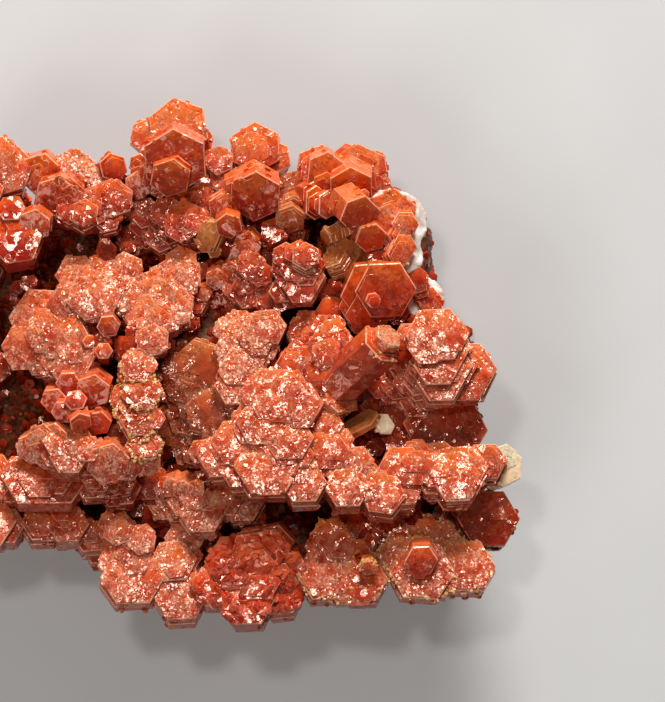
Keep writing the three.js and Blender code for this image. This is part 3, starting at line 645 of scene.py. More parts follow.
def turn_about(axis, degrees):
    """(n, 3, 3) rotations by `degrees` (n,) about the x, y or z axis (0, 1 or 2)."""
    angle = np.radians(degrees)
    cos, sin = np.cos(angle), np.sin(angle)
    turns = np.zeros((len(angle), 3, 3))
    first, second = (axis + 1) % 3, (axis + 2) % 3
    turns[:, axis, axis] = 1
    turns[:, first, first] = cos
    turns[:, second, second] = cos
    turns[:, second, first] = sin
    turns[:, first, second] = -sin
    return turns


def basis_of(tilt, lean, spin):
    """The (3, 3) basis of a crystal that tips by tilt towards lean and is turned by spin."""
    hinge = Vector((-np.sin(np.radians(lean)), np.cos(np.radians(lean)), 0))
    tipped = Matrix.Rotation(np.radians(tilt), 3, hinge)
    return np.array(tipped @ Matrix.Rotation(np.radians(spin), 3, "Z"))


def outlines(reach):
    """(n, 6, 2) corners of the hexagons whose side faces lie at `reach` (n, 6)."""
    along = (np.roll(reach, -1, axis=1) - reach * 0.5) / COS30
    tangent = np.stack([-SIDE_NORMALS[:, 1], SIDE_NORMALS[:, 0]], axis=1)
    return reach[..., None] * SIDE_NORMALS + along[..., None] * tangent


def uneven_reach(radius, unevenness, rng):
    """Distances (..., 6) of the side faces of nearly regular hexagons of `radius` (...)."""
    radius = np.asarray(radius)[..., None]
    return radius * COS30 * (1 + rng.normal(0, unevenness, (*radius.shape[:-1], 6)))


def to_world(plates, local):
    """(n, k, 3) points of the plates' own frames, in the model's frame."""
    return plates.centre[:, None, :] + np.einsum("nij,nkj->nki", plates.basis, local)


@dataclass
class Crystal:
    """One row of the table, with its frame and look."""

    centre: np.ndarray
    basis: np.ndarray
    radius: float
    depth: float
    reach: np.ndarray
    look: Look
    bevel: float = BODY_BEVEL


def word_among(names, words, usual):
    """The first of the words that is one of the names, or the usual one."""
    return next((word for word in words if word in names), usual)


def crystals_of(fan):
    """The crystals of the table's rows for that fan."""
    crystals = []
    for x, y, z, radius, depth, tilt, lean, spin, *words in FANS[fan]:
        habit = HABITS[word_among(HABITS, words, "even")]
        look = LOOKS[word_among(LOOKS, words, LOOK_OF_FAN.get(fan, "frosted"))]
        reach = np.array(habit) * radius * COS30
        basis = basis_of(tilt, lean, spin)
        crystals.append(Crystal(np.array((x, y, z)), basis, radius, depth, reach, look))
    return crystals


def bridges(crystals, rng):
    """Smaller crystals that close the notches between neighbours of one fan."""
    between = []
    for first, second in combinations(crystals, 2):
        together = first.radius + second.radius
        apart = np.linalg.norm(first.centre - second.centre)
        small = min(first.radius, second.radius) < BRIDGED_LEAST
        if small or apart > together * BRIDGE_REACH or not first.look.bridged:
            continue
        for place, host in zip(BRIDGE_PLACES, (first, second)):
            share = rng.uniform(*place)
            centre = first.centre * (1 - share) + second.centre * share
            centre += rng.normal(0, BRIDGE_SHIFT) * together
            centre[2] -= rng.uniform(*BRIDGE_DROP)
            radius = rng.uniform(*BRIDGE_RADIUS) * (first.radius * (1 - share) + second.radius * share)
            reach = uneven_reach(radius, UNEVEN_SIDES, rng)
            depth = host.depth * BRIDGE_DEPTH
            between.append(Crystal(centre, host.basis, radius, depth, reach, host.look, BRIDGE_BEVEL))
    return between


def grown_fan(fan):
    """The fan's listed crystals, and those that bridge them."""
    listed = crystals_of(fan)
    return listed + bridges(listed, np.random.default_rng((SEED, *fan.encode())))


CRYSTALS = {fan: grown_fan(fan) for fan in FANS}
ALL_CRYSTALS = [crystal for crystals in CRYSTALS.values() for crystal in crystals]


# ---- the seats that fans grow out of -------------------------------------------------------------
ROOT_LEVEL = 6.0                # height of the three corners of a seat's root
ROOT_TURNS = np.radians([90, 210, 330])
ROOT_PULL = 0.89                # how near the root's middle stays to the fan's, seen from above
ROOT_SPREAD = 0.62              # how wide the root is, as a share of the fan
ROOT_MARGIN = 2                 # added to the fan's own reach
SEAT_DEPTH = 0.65               # where the crystals' backs meet the seat, as a share of their depth


def hull(points):
    """(corners (n, 3), triangles (m, 3)) of the convex hull, facing out."""
    shape = bmesh.new()
    for point in points:
        shape.verts.new(point)
    result = bmesh.ops.convex_hull(shape, input=shape.verts)
    loose = [item for item in result["geom_interior"] if isinstance(item, bmesh.types.BMVert)]
    bmesh.ops.delete(shape, geom=loose, context="VERTS")
    bmesh.ops.triangulate(shape, faces=shape.faces)
    bmesh.ops.recalc_face_normals(shape, faces=shape.faces)
    shape.verts.index_update()
    corners = np.array([vert.co for vert in shape.verts])
    triangles = np.array([[vert.index for vert in face.verts] for face in shape.faces])
    shape.free()
    return corners, triangles


def seat_points(crystals):
    """Where the crystals' backs meet their common seat, and the seat's root inside the rock."""
    backs = [crystal.centre - crystal.basis[:, 2] * crystal.depth * SEAT_DEPTH for crystal in crystals]
    fronts = np.array([crystal.centre for crystal in crystals])
    low, high = fronts.min(axis=0), fronts.max(axis=0)
    middle = (low + high) / 2
    spread = ROOT_MARGIN + np.linalg.norm((high - low)[:2]) / 2
    roots = [
        (
            middle[0] * ROOT_PULL + spread * ROOT_SPREAD * np.cos(turn),
            middle[1] * ROOT_PULL + spread * ROOT_SPREAD * np.sin(turn),
            ROOT_LEVEL,
        )
        for turn in ROOT_TURNS
    ]
    return np.array(backs + roots)


def edges_of(corners, triangles):
    """Each triangle's first corner and its two edges from there, (m, 3) each."""
    first, second, third = (corners[triangles[:, i]] for i in range(3))
    return first, second - first, third - first


def planes_of(corners, triangles):
    """Outward normals (m, 3) and offsets (m,) of a convex solid's faces."""
    start, along, across = edges_of(corners, triangles)
    normals = np.cross(along, across)
    normals /= np.linalg.norm(normals, axis=1)[:, None]
    return normals, (normals * start).sum(axis=1)


SEATS = {fan: hull(seat_points(crystals)) for fan, crystals in CRYSTALS.items()}
SEAT_PLANES = [planes_of(*seat) for seat in SEATS.values()]


def grown(crystal, local, turns, reach, depth, bevel, rng, frost=None, crust=0.0):
    """Plates at `local` (n, 3) points of a crystal's frame, turned by `turns` (n, 3, 3)."""
    count = len(local)
    look = crystal.look
    return Plates(
        centre=crystal.centre + local @ crystal.basis.T,
        basis=np.einsum("ij,njk->nik", crystal.basis, turns),
        reach=reach,
        depth=np.broadcast_to(depth, (count,)).astype(float),
        bevel=np.broadcast_to(bevel, (count,)).astype(float),
        tone=np.clip(look.tone + rng.normal(0, TONE_SCATTER, count), 0, 1),
        frost=np.clip((look.frost if frost is None else frost) + rng.normal(0, FROST_SCATTER, count), 0, 1),
        crust=np.broadcast_to(crust, (count,)).astype(float),
        host=np.tile((crystal.centre[1], crystal.radius), (count, 1)),
    )


def small_turns(count, wobble, spin, rng):
    """Rotations that lean by about `wobble` degrees any way, and turn by about `spin`."""
    leaning = turn_about(0, rng.normal(0, wobble, count)) @ turn_about(1, rng.normal(0, wobble, count))
    return leaning @ turn_about(2, rng.normal(0, spin, count))


def body_plates(crystal, rng):
    """The crystal itself: a pile of plates with slightly uneven sides."""
    look = crystal.look
    count = max(1, round(crystal.depth / look.layer))
    thickness = crystal.depth / count
    local = np.zeros((count, 3))
    local[:, 2] = -thickness * np.arange(count)
    local[1:, :2] = rng.normal(0, PILE_UNEVENNESS * crystal.radius, (count - 1, 2))
    shares = 1 + rng.normal(0, PILE_UNEVENNESS, (count, 6))
    shares[0] = 1
    turns = small_turns(count, *PILE_TURNS, rng)
    turns[0] = np.eye(3)
    bevel = min(crystal.bevel, LAYER_BEVEL * thickness)
    reach = crystal.reach * shares
    return grown(crystal, local, turns, reach, thickness * LAYER_OVERLAP, bevel, rng, look.frost * BODY_FROST)


def points_on_face(crystal, count, rng, inset):
    """Random points (n, 2) of the front face, at least `inset` inside its sides."""
    reach = crystal.reach - inset
    tries = rng.uniform(-1.5, 1.5, (count * 4, 2)) * crystal.radius
    inside = (tries @ SIDE_NORMALS.T <= reach).all(axis=1)
    return tries[inside][:count]


def terrace_plates(crystal, rng):
    """Growth steps: thin plates on the front face, parallel to it."""
    count = crystal.look.steps
    shares = rng.uniform(*TERRACE_SIZE, count)
    local = np.zeros((count, 3))
    local[:, :2] = rng.normal(0, TERRACE_SHIFT, (count, 2)) * crystal.radius
    local[:, 2] = np.cumsum(rng.uniform(*TERRACE_RISE, count))
    reach = crystal.reach * shares[:, None] * (1 + rng.normal(0, TERRACE_UNEVENNESS, (count, 6)))
    turns = small_turns(count, *TERRACE_TURNS, rng)
    return grown(crystal, local, turns, reach, local[:, 2] + TERRACE_FOOT, TERRACE_BEVEL, rng)


def perimeter(crystal):
    """Length of a regular hexagon's outline."""
    return 6 * crystal.radius


def rim_points(crystal, count, rng):
    """Random points (n, 2) on the outline of the front face."""
    corners = outlines(crystal.reach[None])[0]
    side = rng.integers(0, 6, count)
    share = rng.uniform(0, 1, count)[:, None]
    return corners[side - 1] * (1 - share) + corners[side] * share


def rim_plates(crystal, rng):
    """Sub-plates along the rim, in step with their host."""
    count = int(crystal.look.rim * perimeter(crystal))
    radius = crystal.radius * rng.uniform(*RIM_SIZE, count)
    local = np.zeros((count, 3))
    local[:, :2] = rim_points(crystal, count, rng) * rng.uniform(*RIM_PLACE, count)[:, None]
    local[:, 2] = rng.uniform(*RIM_RISE, count)
    turns = small_turns(count, crystal.look.wobble * RIM_WOBBLE, RIM_TWIST, rng)
    reach = uneven_reach(radius, RIM_UNEVENNESS, rng)
    depth = np.minimum(crystal.depth, rng.uniform(*RIM_DEPTH, count))
    return grown(crystal, local, turns, reach, depth, RIM_BEVEL, rng)


def side_plates(crystal, rng):
    """Small plates that make the crystal's sides ragged."""
    count = int(crystal.look.side * perimeter(crystal) * crystal.depth * SIDE_SHARE)
    radius = rng.uniform(*SIDE_SIZE, count)
    local = np.zeros((count, 3))
    local[:, :2] = rim_points(crystal, count, rng) * (1 - SIDE_INSET * radius / crystal.radius)[:, None]
    local[:, 2] = rng.uniform(-crystal.depth, SIDE_TOP, count)
    turns = small_turns(count, crystal.look.wobble * SIDE_WOBBLE, SIDE_TWIST, rng)
    reach = uneven_reach(radius, SMALL_UNEVENNESS, rng)
    return grown(crystal, local, turns, reach, rng.uniform(*SIDE_DEPTH, count), 0, rng)


def small_plates(crystal, rng):
    """The sparkling growth of the front face."""
    look = crystal.look
    count = int(look.cover * (crystal.radius / np.mean(look.small)) ** 2)
    spots = points_on_face(crystal, count, rng, SMALL_INSET)
    count = len(spots)
    radius = rng.uniform(*look.small, count)
    local = np.column_stack([spots, rng.uniform(*SMALL_RISE, count)])
    turns = small_turns(count, look.wobble, SMALL_TWIST, rng)
    reach = uneven_reach(radius, SMALL_UNEVENNESS, rng)
    return grown(crystal, local, turns, reach, SMALL_DEPTH, 0, rng)


def crust_plates(crystal, rng):
    """Grains of yellow crust along the rim."""
    reach_down = crystal.look.crust_depth
    count = int(crystal.look.crust * crystal.radius * CRUST_GRAINS * (1 + reach_down * CRUST_GAIN))
    radius = rng.uniform(*CRUST_SIZE, count)
    local = np.zeros((count, 3))
    local[:, :2] = rim_points(crystal, count, rng) * rng.uniform(*CRUST_PLACE, count)[:, None]
    local[:, 2] = rng.uniform(-reach_down, CRUST_RISE, count)
    turns = small_turns(count, *CRUST_TURNS, rng)
    reach = uneven_reach(radius, CRUST_UNEVENNESS, rng)
    return grown(crystal, local, turns, reach, CRUST_DEPTH, 0, rng, crust=1.0)


def hollow_crystals(rng):
    """Upright crystals that rise from the rock in the hollows between the fans."""
    listed = [crystal for fan in FANS for crystal in crystals_of(fan)]
    middles = np.empty((0, 3))
    found = []
    for first, second in combinations(listed, 2):
        apart = np.linalg.norm(first.centre - second.centre) / (first.radius + second.radius)
        if not HOLLOW_GAP[0] < apart < HOLLOW_GAP[1]:
            continue
        middle = (first.centre + second.centre) / 2 + rng.normal(0, HOLLOW_SCATTER, 3)
        middle[2] = min(first.centre[2], second.centre[2]) - rng.uniform(*HOLLOW_DROP)
        crowded = (np.linalg.norm(middles - middle, axis=1) < HOLLOW_SPACING).any()
        if crowded or buried(middle[None], None)[0]:
            continue
        middles = np.vstack([middles, middle])
        radius = rng.uniform(*HOLLOW_RADIUS)
        basis = basis_of(rng.uniform(*HOLLOW_TILT), rng.uniform(*HOLLOW_LEAN), rng.uniform(0, 60))
        reach = uneven_reach(radius, UNEVEN_SIDES, rng)
        found.append(Crystal(middle, basis, radius, middle[2] - HOLLOW_FOOT, reach, LOOKS["hollow"]))
    return found


def buried(points, own):
    """Which of the points (n, 3) lie well inside a seat, or a crystal other than `own`."""
    inside = np.zeros(len(points), bool)
    if not len(points):
        return inside
    low, high = points.min(axis=0), points.max(axis=0)
    for normals, offsets in SEAT_PLANES:
        inside |= (points @ normals.T < offsets - BURIED_MARGIN).all(axis=1)
    for crystal in ALL_CRYSTALS:
        size = 2 * crystal.radius + crystal.depth
        far = (crystal.centre + size < low).any() or (crystal.centre - size > high).any()
        if crystal is own or far:
            continue
        local = (points - crystal.centre) @ crystal.basis
        in_depth = (local[:, 2] < -BURIED_MARGIN) & (local[:, 2] > -crystal.depth)
        within = (local[:, :2] @ SIDE_NORMALS.T < crystal.reach).all(axis=1)
        inside |= in_depth & within
    return inside


def crystal_plates(crystal, rng):
    growth = Plates.join([
        terrace_plates(crystal, rng),
        rim_plates(crystal, rng),
        side_plates(crystal, rng),
        small_plates(crystal, rng),
        crust_plates(crystal, rng),
    ])
    return Plates.join([body_plates(crystal, rng), growth.pick(~buried(growth.centre, crystal))])


# ---- growth on the seats -------------------------------------------------------------------------
DRUSE_PER_MM2 = 1.6
DRUSE_RADIUS = (0.25, 0.9)
DRUSE_DEPTH = (0.9, 1.8)        # in radii
DRUSE_HEIGHT = 0.3              # of its crystals' front faces above the surface, in radii
DRUSE_BEVEL = 0.08              # how far their front faces stay inside their sides, in radii
DRUSE_RISE = 0.7                # how strongly its crystals turn upwards
DRUSE_SCATTER = 0.3             # of their directions
DRUSE_UNEVENNESS = 0.1
DRUSE_TONE_SCATTER = 0.1
DRUSE_FROST_SCATTER = 0.15
SEAT_LOOK = replace(FROSTED, tone=0.15, frost=0.08)


def points_on_triangles(corners, triangles, per_mm2, rng):
    """Random points on the triangles, so many for each square millimetre, and the normals there."""
    start, along, across = edges_of(corners, triangles)
    cross = np.cross(along, across)
    area = np.linalg.norm(cross, axis=1) / 2
    count = int(area.sum() * per_mm2)
    pick = rng.choice(len(triangles), count, p=area / area.sum())
    u, v = rng.uniform(0, 1, (2, count))
    flip = u + v > 1
    u[flip], v[flip] = 1 - u[flip], 1 - v[flip]
    points = start[pick] + u[:, None] * along[pick] + v[:, None] * across[pick]
    return points, cross[pick] / np.linalg.norm(cross[pick], axis=1)[:, None]


def bases_facing(directions, rng):
    """(n, 3, 3) bases whose axes are the directions, each turned at random."""
    aside = np.cross(directions, rng.normal(0, 1, directions.shape))
    aside /= np.linalg.norm(aside, axis=1)[:, None]
    return np.stack([aside, np.cross(directions, aside), directions], axis=2)


def druse(corners, triangles, per_mm2, radii, look, rng):
    """Crystals that line a surface, standing up and out of it."""
    points, normals = points_on_triangles(corners, triangles, per_mm2, rng)
    count = len(points)
    axes = normals + np.array((0, 0, DRUSE_RISE)) + rng.normal(0, DRUSE_SCATTER, normals.shape)
    axes /= np.linalg.norm(axes, axis=1)[:, None]
    least, greatest = radii
    radius = least + (greatest - least) * rng.power(0.5, count)
    return Plates(
        centre=points + axes * radius[:, None] * DRUSE_HEIGHT,
        basis=bases_facing(axes, rng),
        reach=uneven_reach(radius, DRUSE_UNEVENNESS, rng),
        depth=radius * rng.uniform(*DRUSE_DEPTH, count),
        bevel=radius * DRUSE_BEVEL,
        tone=np.clip(look.tone + rng.normal(0, DRUSE_TONE_SCATTER, count), 0, 1),
        frost=np.clip(look.frost + rng.normal(0, DRUSE_FROST_SCATTER, count), 0, 1),
        crust=np.zeros(count),
        host=np.column_stack([points[:, 1], radius]),
    )


# ---- meshes --------------------------------------------------------------------------------------
PLATE_MARKS = ("tone", "frost", "crust")
# Painted highlight: the rim mark makes bevels pale and sides faintly so, standing in for light caught by the
# edges.
SIDE_PAINTED_HIGHLIGHT = 0.05            # the rim mark on a plate's sides
BEVEL_PAINTED_HIGHLIGHT = 0.75           # and on its bevel


@dataclass
class Shells:
    """Vertices (n, 3), polygon sizes and corners, and one value of each mark for each polygon.

    A vertex's painted-light zone runs from 0 at its crystal's lower edge, in the display view, to 1 at the
    upper. It paints the crystal lighter on the upper side, towards the key light, and darker on the lower,
    shaded side.
    """

    points: np.ndarray
    painted_light_zones: np.ndarray
    sizes: np.ndarray
    corners: np.ndarray
    marks: dict

    @staticmethod
    def join(groups):
        starts = np.cumsum([0] + [len(group.points) for group in groups[:-1]])
        return Shells(
            np.concatenate([group.points for group in groups]),
            np.concatenate([group.painted_light_zones for group in groups]),
            np.concatenate([group.sizes for group in groups]),
            np.concatenate([group.corners + start for group, start in zip(groups, starts)]),
            {name: np.concatenate([group.marks[name] for group in groups]) for name in groups[0].marks},
        )


def plate_faces(rings):
    """Polygon sizes and corners of one plate whose `rings` hexagons run from front to back."""
    front = list(range(6))
    back = [6 * (rings - 1) + i for i in reversed(range(6))]
    bands = [
        [6 * ring + i, 6 * (ring + 1) + i, 6 * (ring + 1) + (i + 1) % 6, 6 * ring + (i + 1) % 6]
        for ring in range(rings - 1)
        for i in range(6)
    ]
    faces = [front, *bands, back]
    return np.array([len(face) for face in faces]), np.concatenate(faces)


def plate_shells(plates, bevelled):
    """Closed shells of the plates. The bevel is a band of its own, or makes the sides taper."""
    depth = plates.depth[:, None]
    bevel = plates.bevel[:, None]
    levels = [(plates.reach - bevel, 0 * depth), (plates.reach, -bevel), (plates.reach, -depth)]
    if not bevelled:
        levels = [levels[0], levels[2]]
    rings = [
        np.concatenate([outlines(reach), np.repeat(height, 6, axis=1)[..., None]], axis=2)
        for reach, height in levels
    ]
    points = to_world(plates, np.concatenate(rings, axis=1))
    sizes, corners = plate_faces(len(rings))
    count, per_plate = points.shape[:2]
    # painted highlight: faintly pale sides, and pale bevels
    rim = np.zeros(len(sizes))
    rim[1:-1] = SIDE_PAINTED_HIGHLIGHT
    if bevelled:
        rim[1:7] = BEVEL_PAINTED_HIGHLIGHT
    marks = {name: np.repeat(getattr(plates, name), len(sizes)) for name in PLATE_MARKS}
    marks["rim"] = np.tile(rim, count)
    starts = per_plate * np.arange(count)
    middle, radius = plates.host[:, :1], plates.host[:, 1:]
    # painted light: the zone rises from the host crystal's lower edge to its upper one, the side the key
    # light comes from
    painted_light_zones = np.clip(0.5 + 0.5 * (points[..., 1] - middle) / radius, 0, 1)
    return Shells(
        points.reshape(-1, 3),
        painted_light_zones.reshape(-1),
        np.tile(sizes, count),
        (corners[None, :] + starts[:, None]).reshape(-1),
        marks,
    )


def hull_shell(corners, triangles, look):
    """The shell of a seat."""
    count = len(triangles)
    marks = {name: np.full(count, getattr(look, name)) for name in PLATE_MARKS}
    marks["rim"] = np.zeros(count)
    return Shells(corners, np.full(len(corners), 0.5), np.full(count, 3), triangles.reshape(-1), marks)


def mesh_of(name, shells):
    """A mesh in metres, with the marks as face attributes."""
    mesh = bpy.data.meshes.new(name)
    mesh.vertices.add(len(shells.points))
    mesh.vertices.foreach_set("co", (shells.points * MM).ravel())
    mesh.loops.add(len(shells.corners))
    mesh.loops.foreach_set("vertex_index", shells.corners.astype(np.int32))
    mesh.polygons.add(len(shells.sizes))
    starts = np.cumsum(shells.sizes) - shells.sizes
    mesh.polygons.foreach_set("loop_start", starts.astype(np.int32))
    for mark, values in shells.marks.items():
        attribute = mesh.attributes.new(mark, "FLOAT", "FACE")
        attribute.data.foreach_set("value", values.astype(np.float32))
    # painted light: the zone attribute, by which the material paints each crystal lighter towards its upper
    # edge
    painted_light_zone = mesh.attributes.new("painted_light_zone", "FLOAT", "POINT")
    painted_light_zone.data.foreach_set("value", shells.painted_light_zones.astype(np.float32))
    mesh.update(calc_edges=True)
    mesh.shade_flat()
    return mesh


def fan_shells(fan, rng):
    """All the shells of one fan: its crystals, its seat and the druse on the seat."""
    crystals = CRYSTALS[fan]
    plates = Plates.join([crystal_plates(crystal, rng) for crystal in crystals])
    corners, triangles = SEATS[fan]
    lining = druse(corners, triangles, DRUSE_PER_MM2, DRUSE_RADIUS, SEAT_LOOK, rng)
    lining = lining.pick(~buried(lining.centre, None))
    plain = plates.bevel == 0
    return Shells.join([
        plate_shells(plates.pick(~plain), True),
        plate_shells(plates.pick(plain), False),
        plate_shells(lining, False),
        hull_shell(corners, triangles, SEAT_LOOK),
    ])


# ---- materials -----------------------------------------------------------------------------------
@dataclass(frozen=True)
class Palette:
    """Colours of one kind of crystal, linear RGB."""

    deep: tuple = (0.24, 0.004, 0.001)
    middle: tuple = (0.52, 0.032, 0.003)
    bright: tuple = (0.80, 0.12, 0.008)
    # frost: the pale colour of frosted growth, partly its own colour and partly painted sheen
    frost: tuple = (0.74, 0.32, 0.18)
    stain: tuple = (0.26, 0.055, 0.012)
    # rim: the painted highlight colour of bevels and sides
    rim: tuple = (0.97, 0.55, 0.34)


CRUST = (0.78, 0.43, 0.15)

# Shares of stain, of speckle and of patchy frost, by the noise or cell that they are read from.
STAIN_SHARES = [(0.55, (0, 0, 0)), (0.8, (0.5, 0.5, 0.5))]
# The pale frost speckle is partly the frosting's own colour and partly painted sheen standing in for glints.
SPECKLE_AND_SHEEN_SHARES = [(0.3, (0.3, 0.3, 0.3)), (0.75, (1, 1, 1))]
FROST_SHARES = [(0.36, (0.1, 0.1, 0.1)), (0.6, (1, 1, 1))]

# Facets are small cells whose normals lean their own ways; patches are larger ones.
FACET_SIZE = 0.19
FACET_LEAN = 0.07
FROST_LEAN = 0.38               # how much more the facets lean on fully frosted faces
PATCH_SIZE = 0.8
PATCH_LEAN = 0.3
ROCK_FACET_SIZE = 0.4
ROCK_FACET_LEAN = 0.7

# How much a crystal's colour changes in patches, and, as painted light, from its shaded lower edge to its lit
# upper one.
PATCH_TONE = 0.9
PAINTED_LIGHT_TONE = 1.1
# share of the painted highlight on bevels and sides
RIM_HIGHLIGHT_SHARE = 0.7
FROST_ROUGHNESS = 0.18

VANADINITE = {
    "IOR": 1.68,
    "Specular Tint": (1, 0.62, 0.48, 1),
    "Subsurface Weight": 0.3,
    "Subsurface Radius": (1.0, 0.35, 0.15),
    "Subsurface Scale": 0.35 * MM,
}
ROCK = {"Specular Tint": (1, 0.7, 0.55, 1)}
BARITE = {
    "IOR": 1.64,
    "Subsurface Weight": 0.4,
    "Subsurface Radius": (1.0, 0.8, 0.6),
    "Subsurface Scale": 0.8 * MM,
}
ROCK_COLOURS = [(0.25, (0.04, 0.009, 0.003)), (0.5, (0.12, 0.028, 0.009)), (0.75, (0.24, 0.085, 0.03))]
BARITE_COLOURS = [(0.3, (0.50, 0.30, 0.22)), (0.5, (0.74, 0.62, 0.53)), (0.7, (0.86, 0.80, 0.72))]
FLOOR_COLOURS = [(0.3, (0.60, 0.59, 0.575)), (0.7, (0.64, 0.63, 0.615))]

PALETTES = {
    "orange_vanadinite": Palette(),
    "red_vanadinite": Palette(
        deep=(0.26, 0.008, 0.003), middle=(0.62, 0.04, 0.008), bright=(0.8, 0.13, 0.03),
    ),
    "deep_red_vanadinite": Palette(
        deep=(0.19, 0.006, 0.001), middle=(0.42, 0.028, 0.005), bright=(0.62, 0.10, 0.014),
        frost=(0.56, 0.16, 0.07), rim=(0.74, 0.28, 0.12), stain=(0.22, 0.05, 0.014),
    ),
    "brown_vanadinite": Palette(
        deep=(0.14, 0.010, 0.003), middle=(0.38, 0.045, 0.010), bright=(0.58, 0.14, 0.030),
        frost=(0.62, 0.22, 0.10), rim=(0.78, 0.38, 0.18),
    ),
    "tan_crystal": Palette(
        deep=(0.24, 0.035, 0.006), middle=(0.50, 0.11, 0.020), bright=(0.66, 0.20, 0.045),
        frost=(0.76, 0.36, 0.16), rim=(0.90, 0.54, 0.28), stain=(0.34, 0.09, 0.018),
    ),
    "pale_crystal": Palette(
        deep=(0.20, 0.03, 0.010), middle=(0.80, 0.50, 0.28), bright=(0.88, 0.66, 0.42),
        frost=(0.88, 0.70, 0.52), rim=(0.93, 0.82, 0.66), stain=(0.55, 0.30, 0.12),
    ),
}


class Nodes:
    """A short way to lay out the nodes of one material."""

    def __init__(self, name):
        self.material = bpy.data.materials.new(name)
        self.material.use_nodes = True
        self.tree = self.material.node_tree
        self.shader = self.tree.nodes["Principled BSDF"]
        coordinates = self.tree.nodes.new("ShaderNodeTexCoord")
        self.place = coordinates.outputs["Object"]

    def link(self, source, target):
        self.tree.links.new(source, target)

    def put(self, value, socket):
        """Sets a socket to a plain value, or links another socket to it."""
        if isinstance(value, (int, float, tuple)):
            socket.default_value = value
        else:
            self.link(value, socket)

    def surface(self, colour, roughness, constants):
        """Sets the shader's colour and roughness, and its constants on their own sockets."""
        self.put(colour, self.shader.inputs["Base Color"])
        self.put(roughness, self.shader.inputs["Roughness"])
        for name, value in constants.items():
            self.shader.inputs[name].default_value = value

    def mark(self, name):
        """An attribute of the mesh."""
        node = self.tree.nodes.new("ShaderNodeAttribute")
        node.attribute_name = name
        return node.outputs["Fac"]

    def noise(self, size_mm, detail=3.0, roughness=0.55):
        """Noise from 0 to 1 with lumps of about size_mm."""
        node = self.tree.nodes.new("ShaderNodeTexNoise")
        node.inputs["Scale"].default_value = 1 / (size_mm * MM)
        node.inputs["Detail"].default_value = detail
        node.inputs["Roughness"].default_value = roughness
        self.link(self.place, node.inputs["Vector"])
        return node.outputs["Fac"]

    def ramp(self, source, stops):
        """Colours by the source's value, from (position, colour) stops."""
        node = self.tree.nodes.new("ShaderNodeValToRGB")
        elements = node.color_ramp.elements
        while len(elements) < len(stops):
            elements.new(0.5)
        for element, (position, colour) in zip(elements, stops):
            element.position = position
            element.color = (*colour, 1)
        self.link(source, node.inputs["Fac"])
        return node.outputs["Color"]

    def mix(self, share, first, second):
        """A mix of two colours, each plain or a socket."""
        node = self.tree.nodes.new("ShaderNodeMix")
        node.data_type = "RGBA"
        self.link(share, node.inputs["Factor"])
        for value, socket in ((first, node.inputs[6]), (second, node.inputs[7])):
            self.put((*value, 1) if isinstance(value, tuple) else value, socket)
        return node.outputs[2]

    def math(self, operation, *values):
        node = self.tree.nodes.new("ShaderNodeMath")
        node.operation = operation
        node.use_clamp = operation != "MULTIPLY_ADD"
        for value, socket in zip(values, node.inputs):
            self.put(value, socket)
        return node.outputs[0]

    def vector(self, operation, *values):
        node = self.tree.nodes.new("ShaderNodeVectorMath")
        node.operation = operation
        for value, socket in zip(values, node.inputs):
            self.put(value, socket)
        return node

    def cells(self, size_mm):
        """A colour of its own for each small cell of about size_mm."""
        node = self.tree.nodes.new("ShaderNodeTexVoronoi")
        node.inputs["Scale"].default_value = 1 / (size_mm * MM)
        self.link(self.place, node.inputs["Vector"])
        return node.outputs["Color"]

    def facets(self, *layers):
        """The surface's normal, leaning its own way on each cell of the (cells, lean) layers."""
        leaning = self.tree.nodes.new("ShaderNodeNewGeometry").outputs["Normal"]
        for cells, lean in layers:
            centred = self.vector("SUBTRACT", cells, (0.5, 0.5, 0.5)).outputs[0]
            scaled = self.vector("SCALE", centred)
            self.put(lean, scaled.inputs["Scale"])
            leaning = self.vector("ADD", leaning, scaled.outputs[0]).outputs[0]
        return self.vector("NORMALIZE", leaning).outputs[0]

    def bump(self, height, strength, distance_mm, normal=None):
        """Gives the shader fine unevenness over its normal, or over another one."""
        node = self.tree.nodes.new("ShaderNodeBump")
        if normal:
            self.link(normal, node.inputs["Normal"])
        node.inputs["Strength"].default_value = strength
        node.inputs["Distance"].default_value = distance_mm * MM
        self.link(height, node.inputs["Height"])
        self.link(node.outputs["Normal"], self.shader.inputs["Normal"])


def crystal_colour(nodes, palette, frost):
    """Deep to bright by tone and patches, and brighter towards the upper edge as painted light; stained;
    frosted, with a pale speckle that is partly painted sheen; pale at the bevels as a painted highlight;
    yellow where crusted.
    """
    patches = nodes.math("MULTIPLY_ADD", nodes.noise(1.1, detail=5), PATCH_TONE, nodes.mark("tone"))
    # painted light: the upper, lit edge of each crystal is brighter and the lower one darker
    painted_lit_tone = nodes.math("MULTIPLY_ADD", nodes.mark("painted_light_zone"), PAINTED_LIGHT_TONE, patches)
    tone = nodes.math("SUBTRACT", painted_lit_tone, 1.0)
    body = nodes.ramp(tone, [(0, palette.deep), (0.5, palette.middle), (1, palette.bright)])
    stained = nodes.mix(nodes.ramp(nodes.noise(2.4, detail=5), STAIN_SHARES), body, palette.stain)
    frosted = nodes.mix(frost, stained, palette.frost)
    # painted highlight: the rim colour laid over bevels and sides
    rimmed = nodes.mix(nodes.math("MULTIPLY", nodes.mark("rim"), RIM_HIGHLIGHT_SHARE), frosted, palette.rim)
    return nodes.mix(nodes.mark("crust"), rimmed, CRUST)


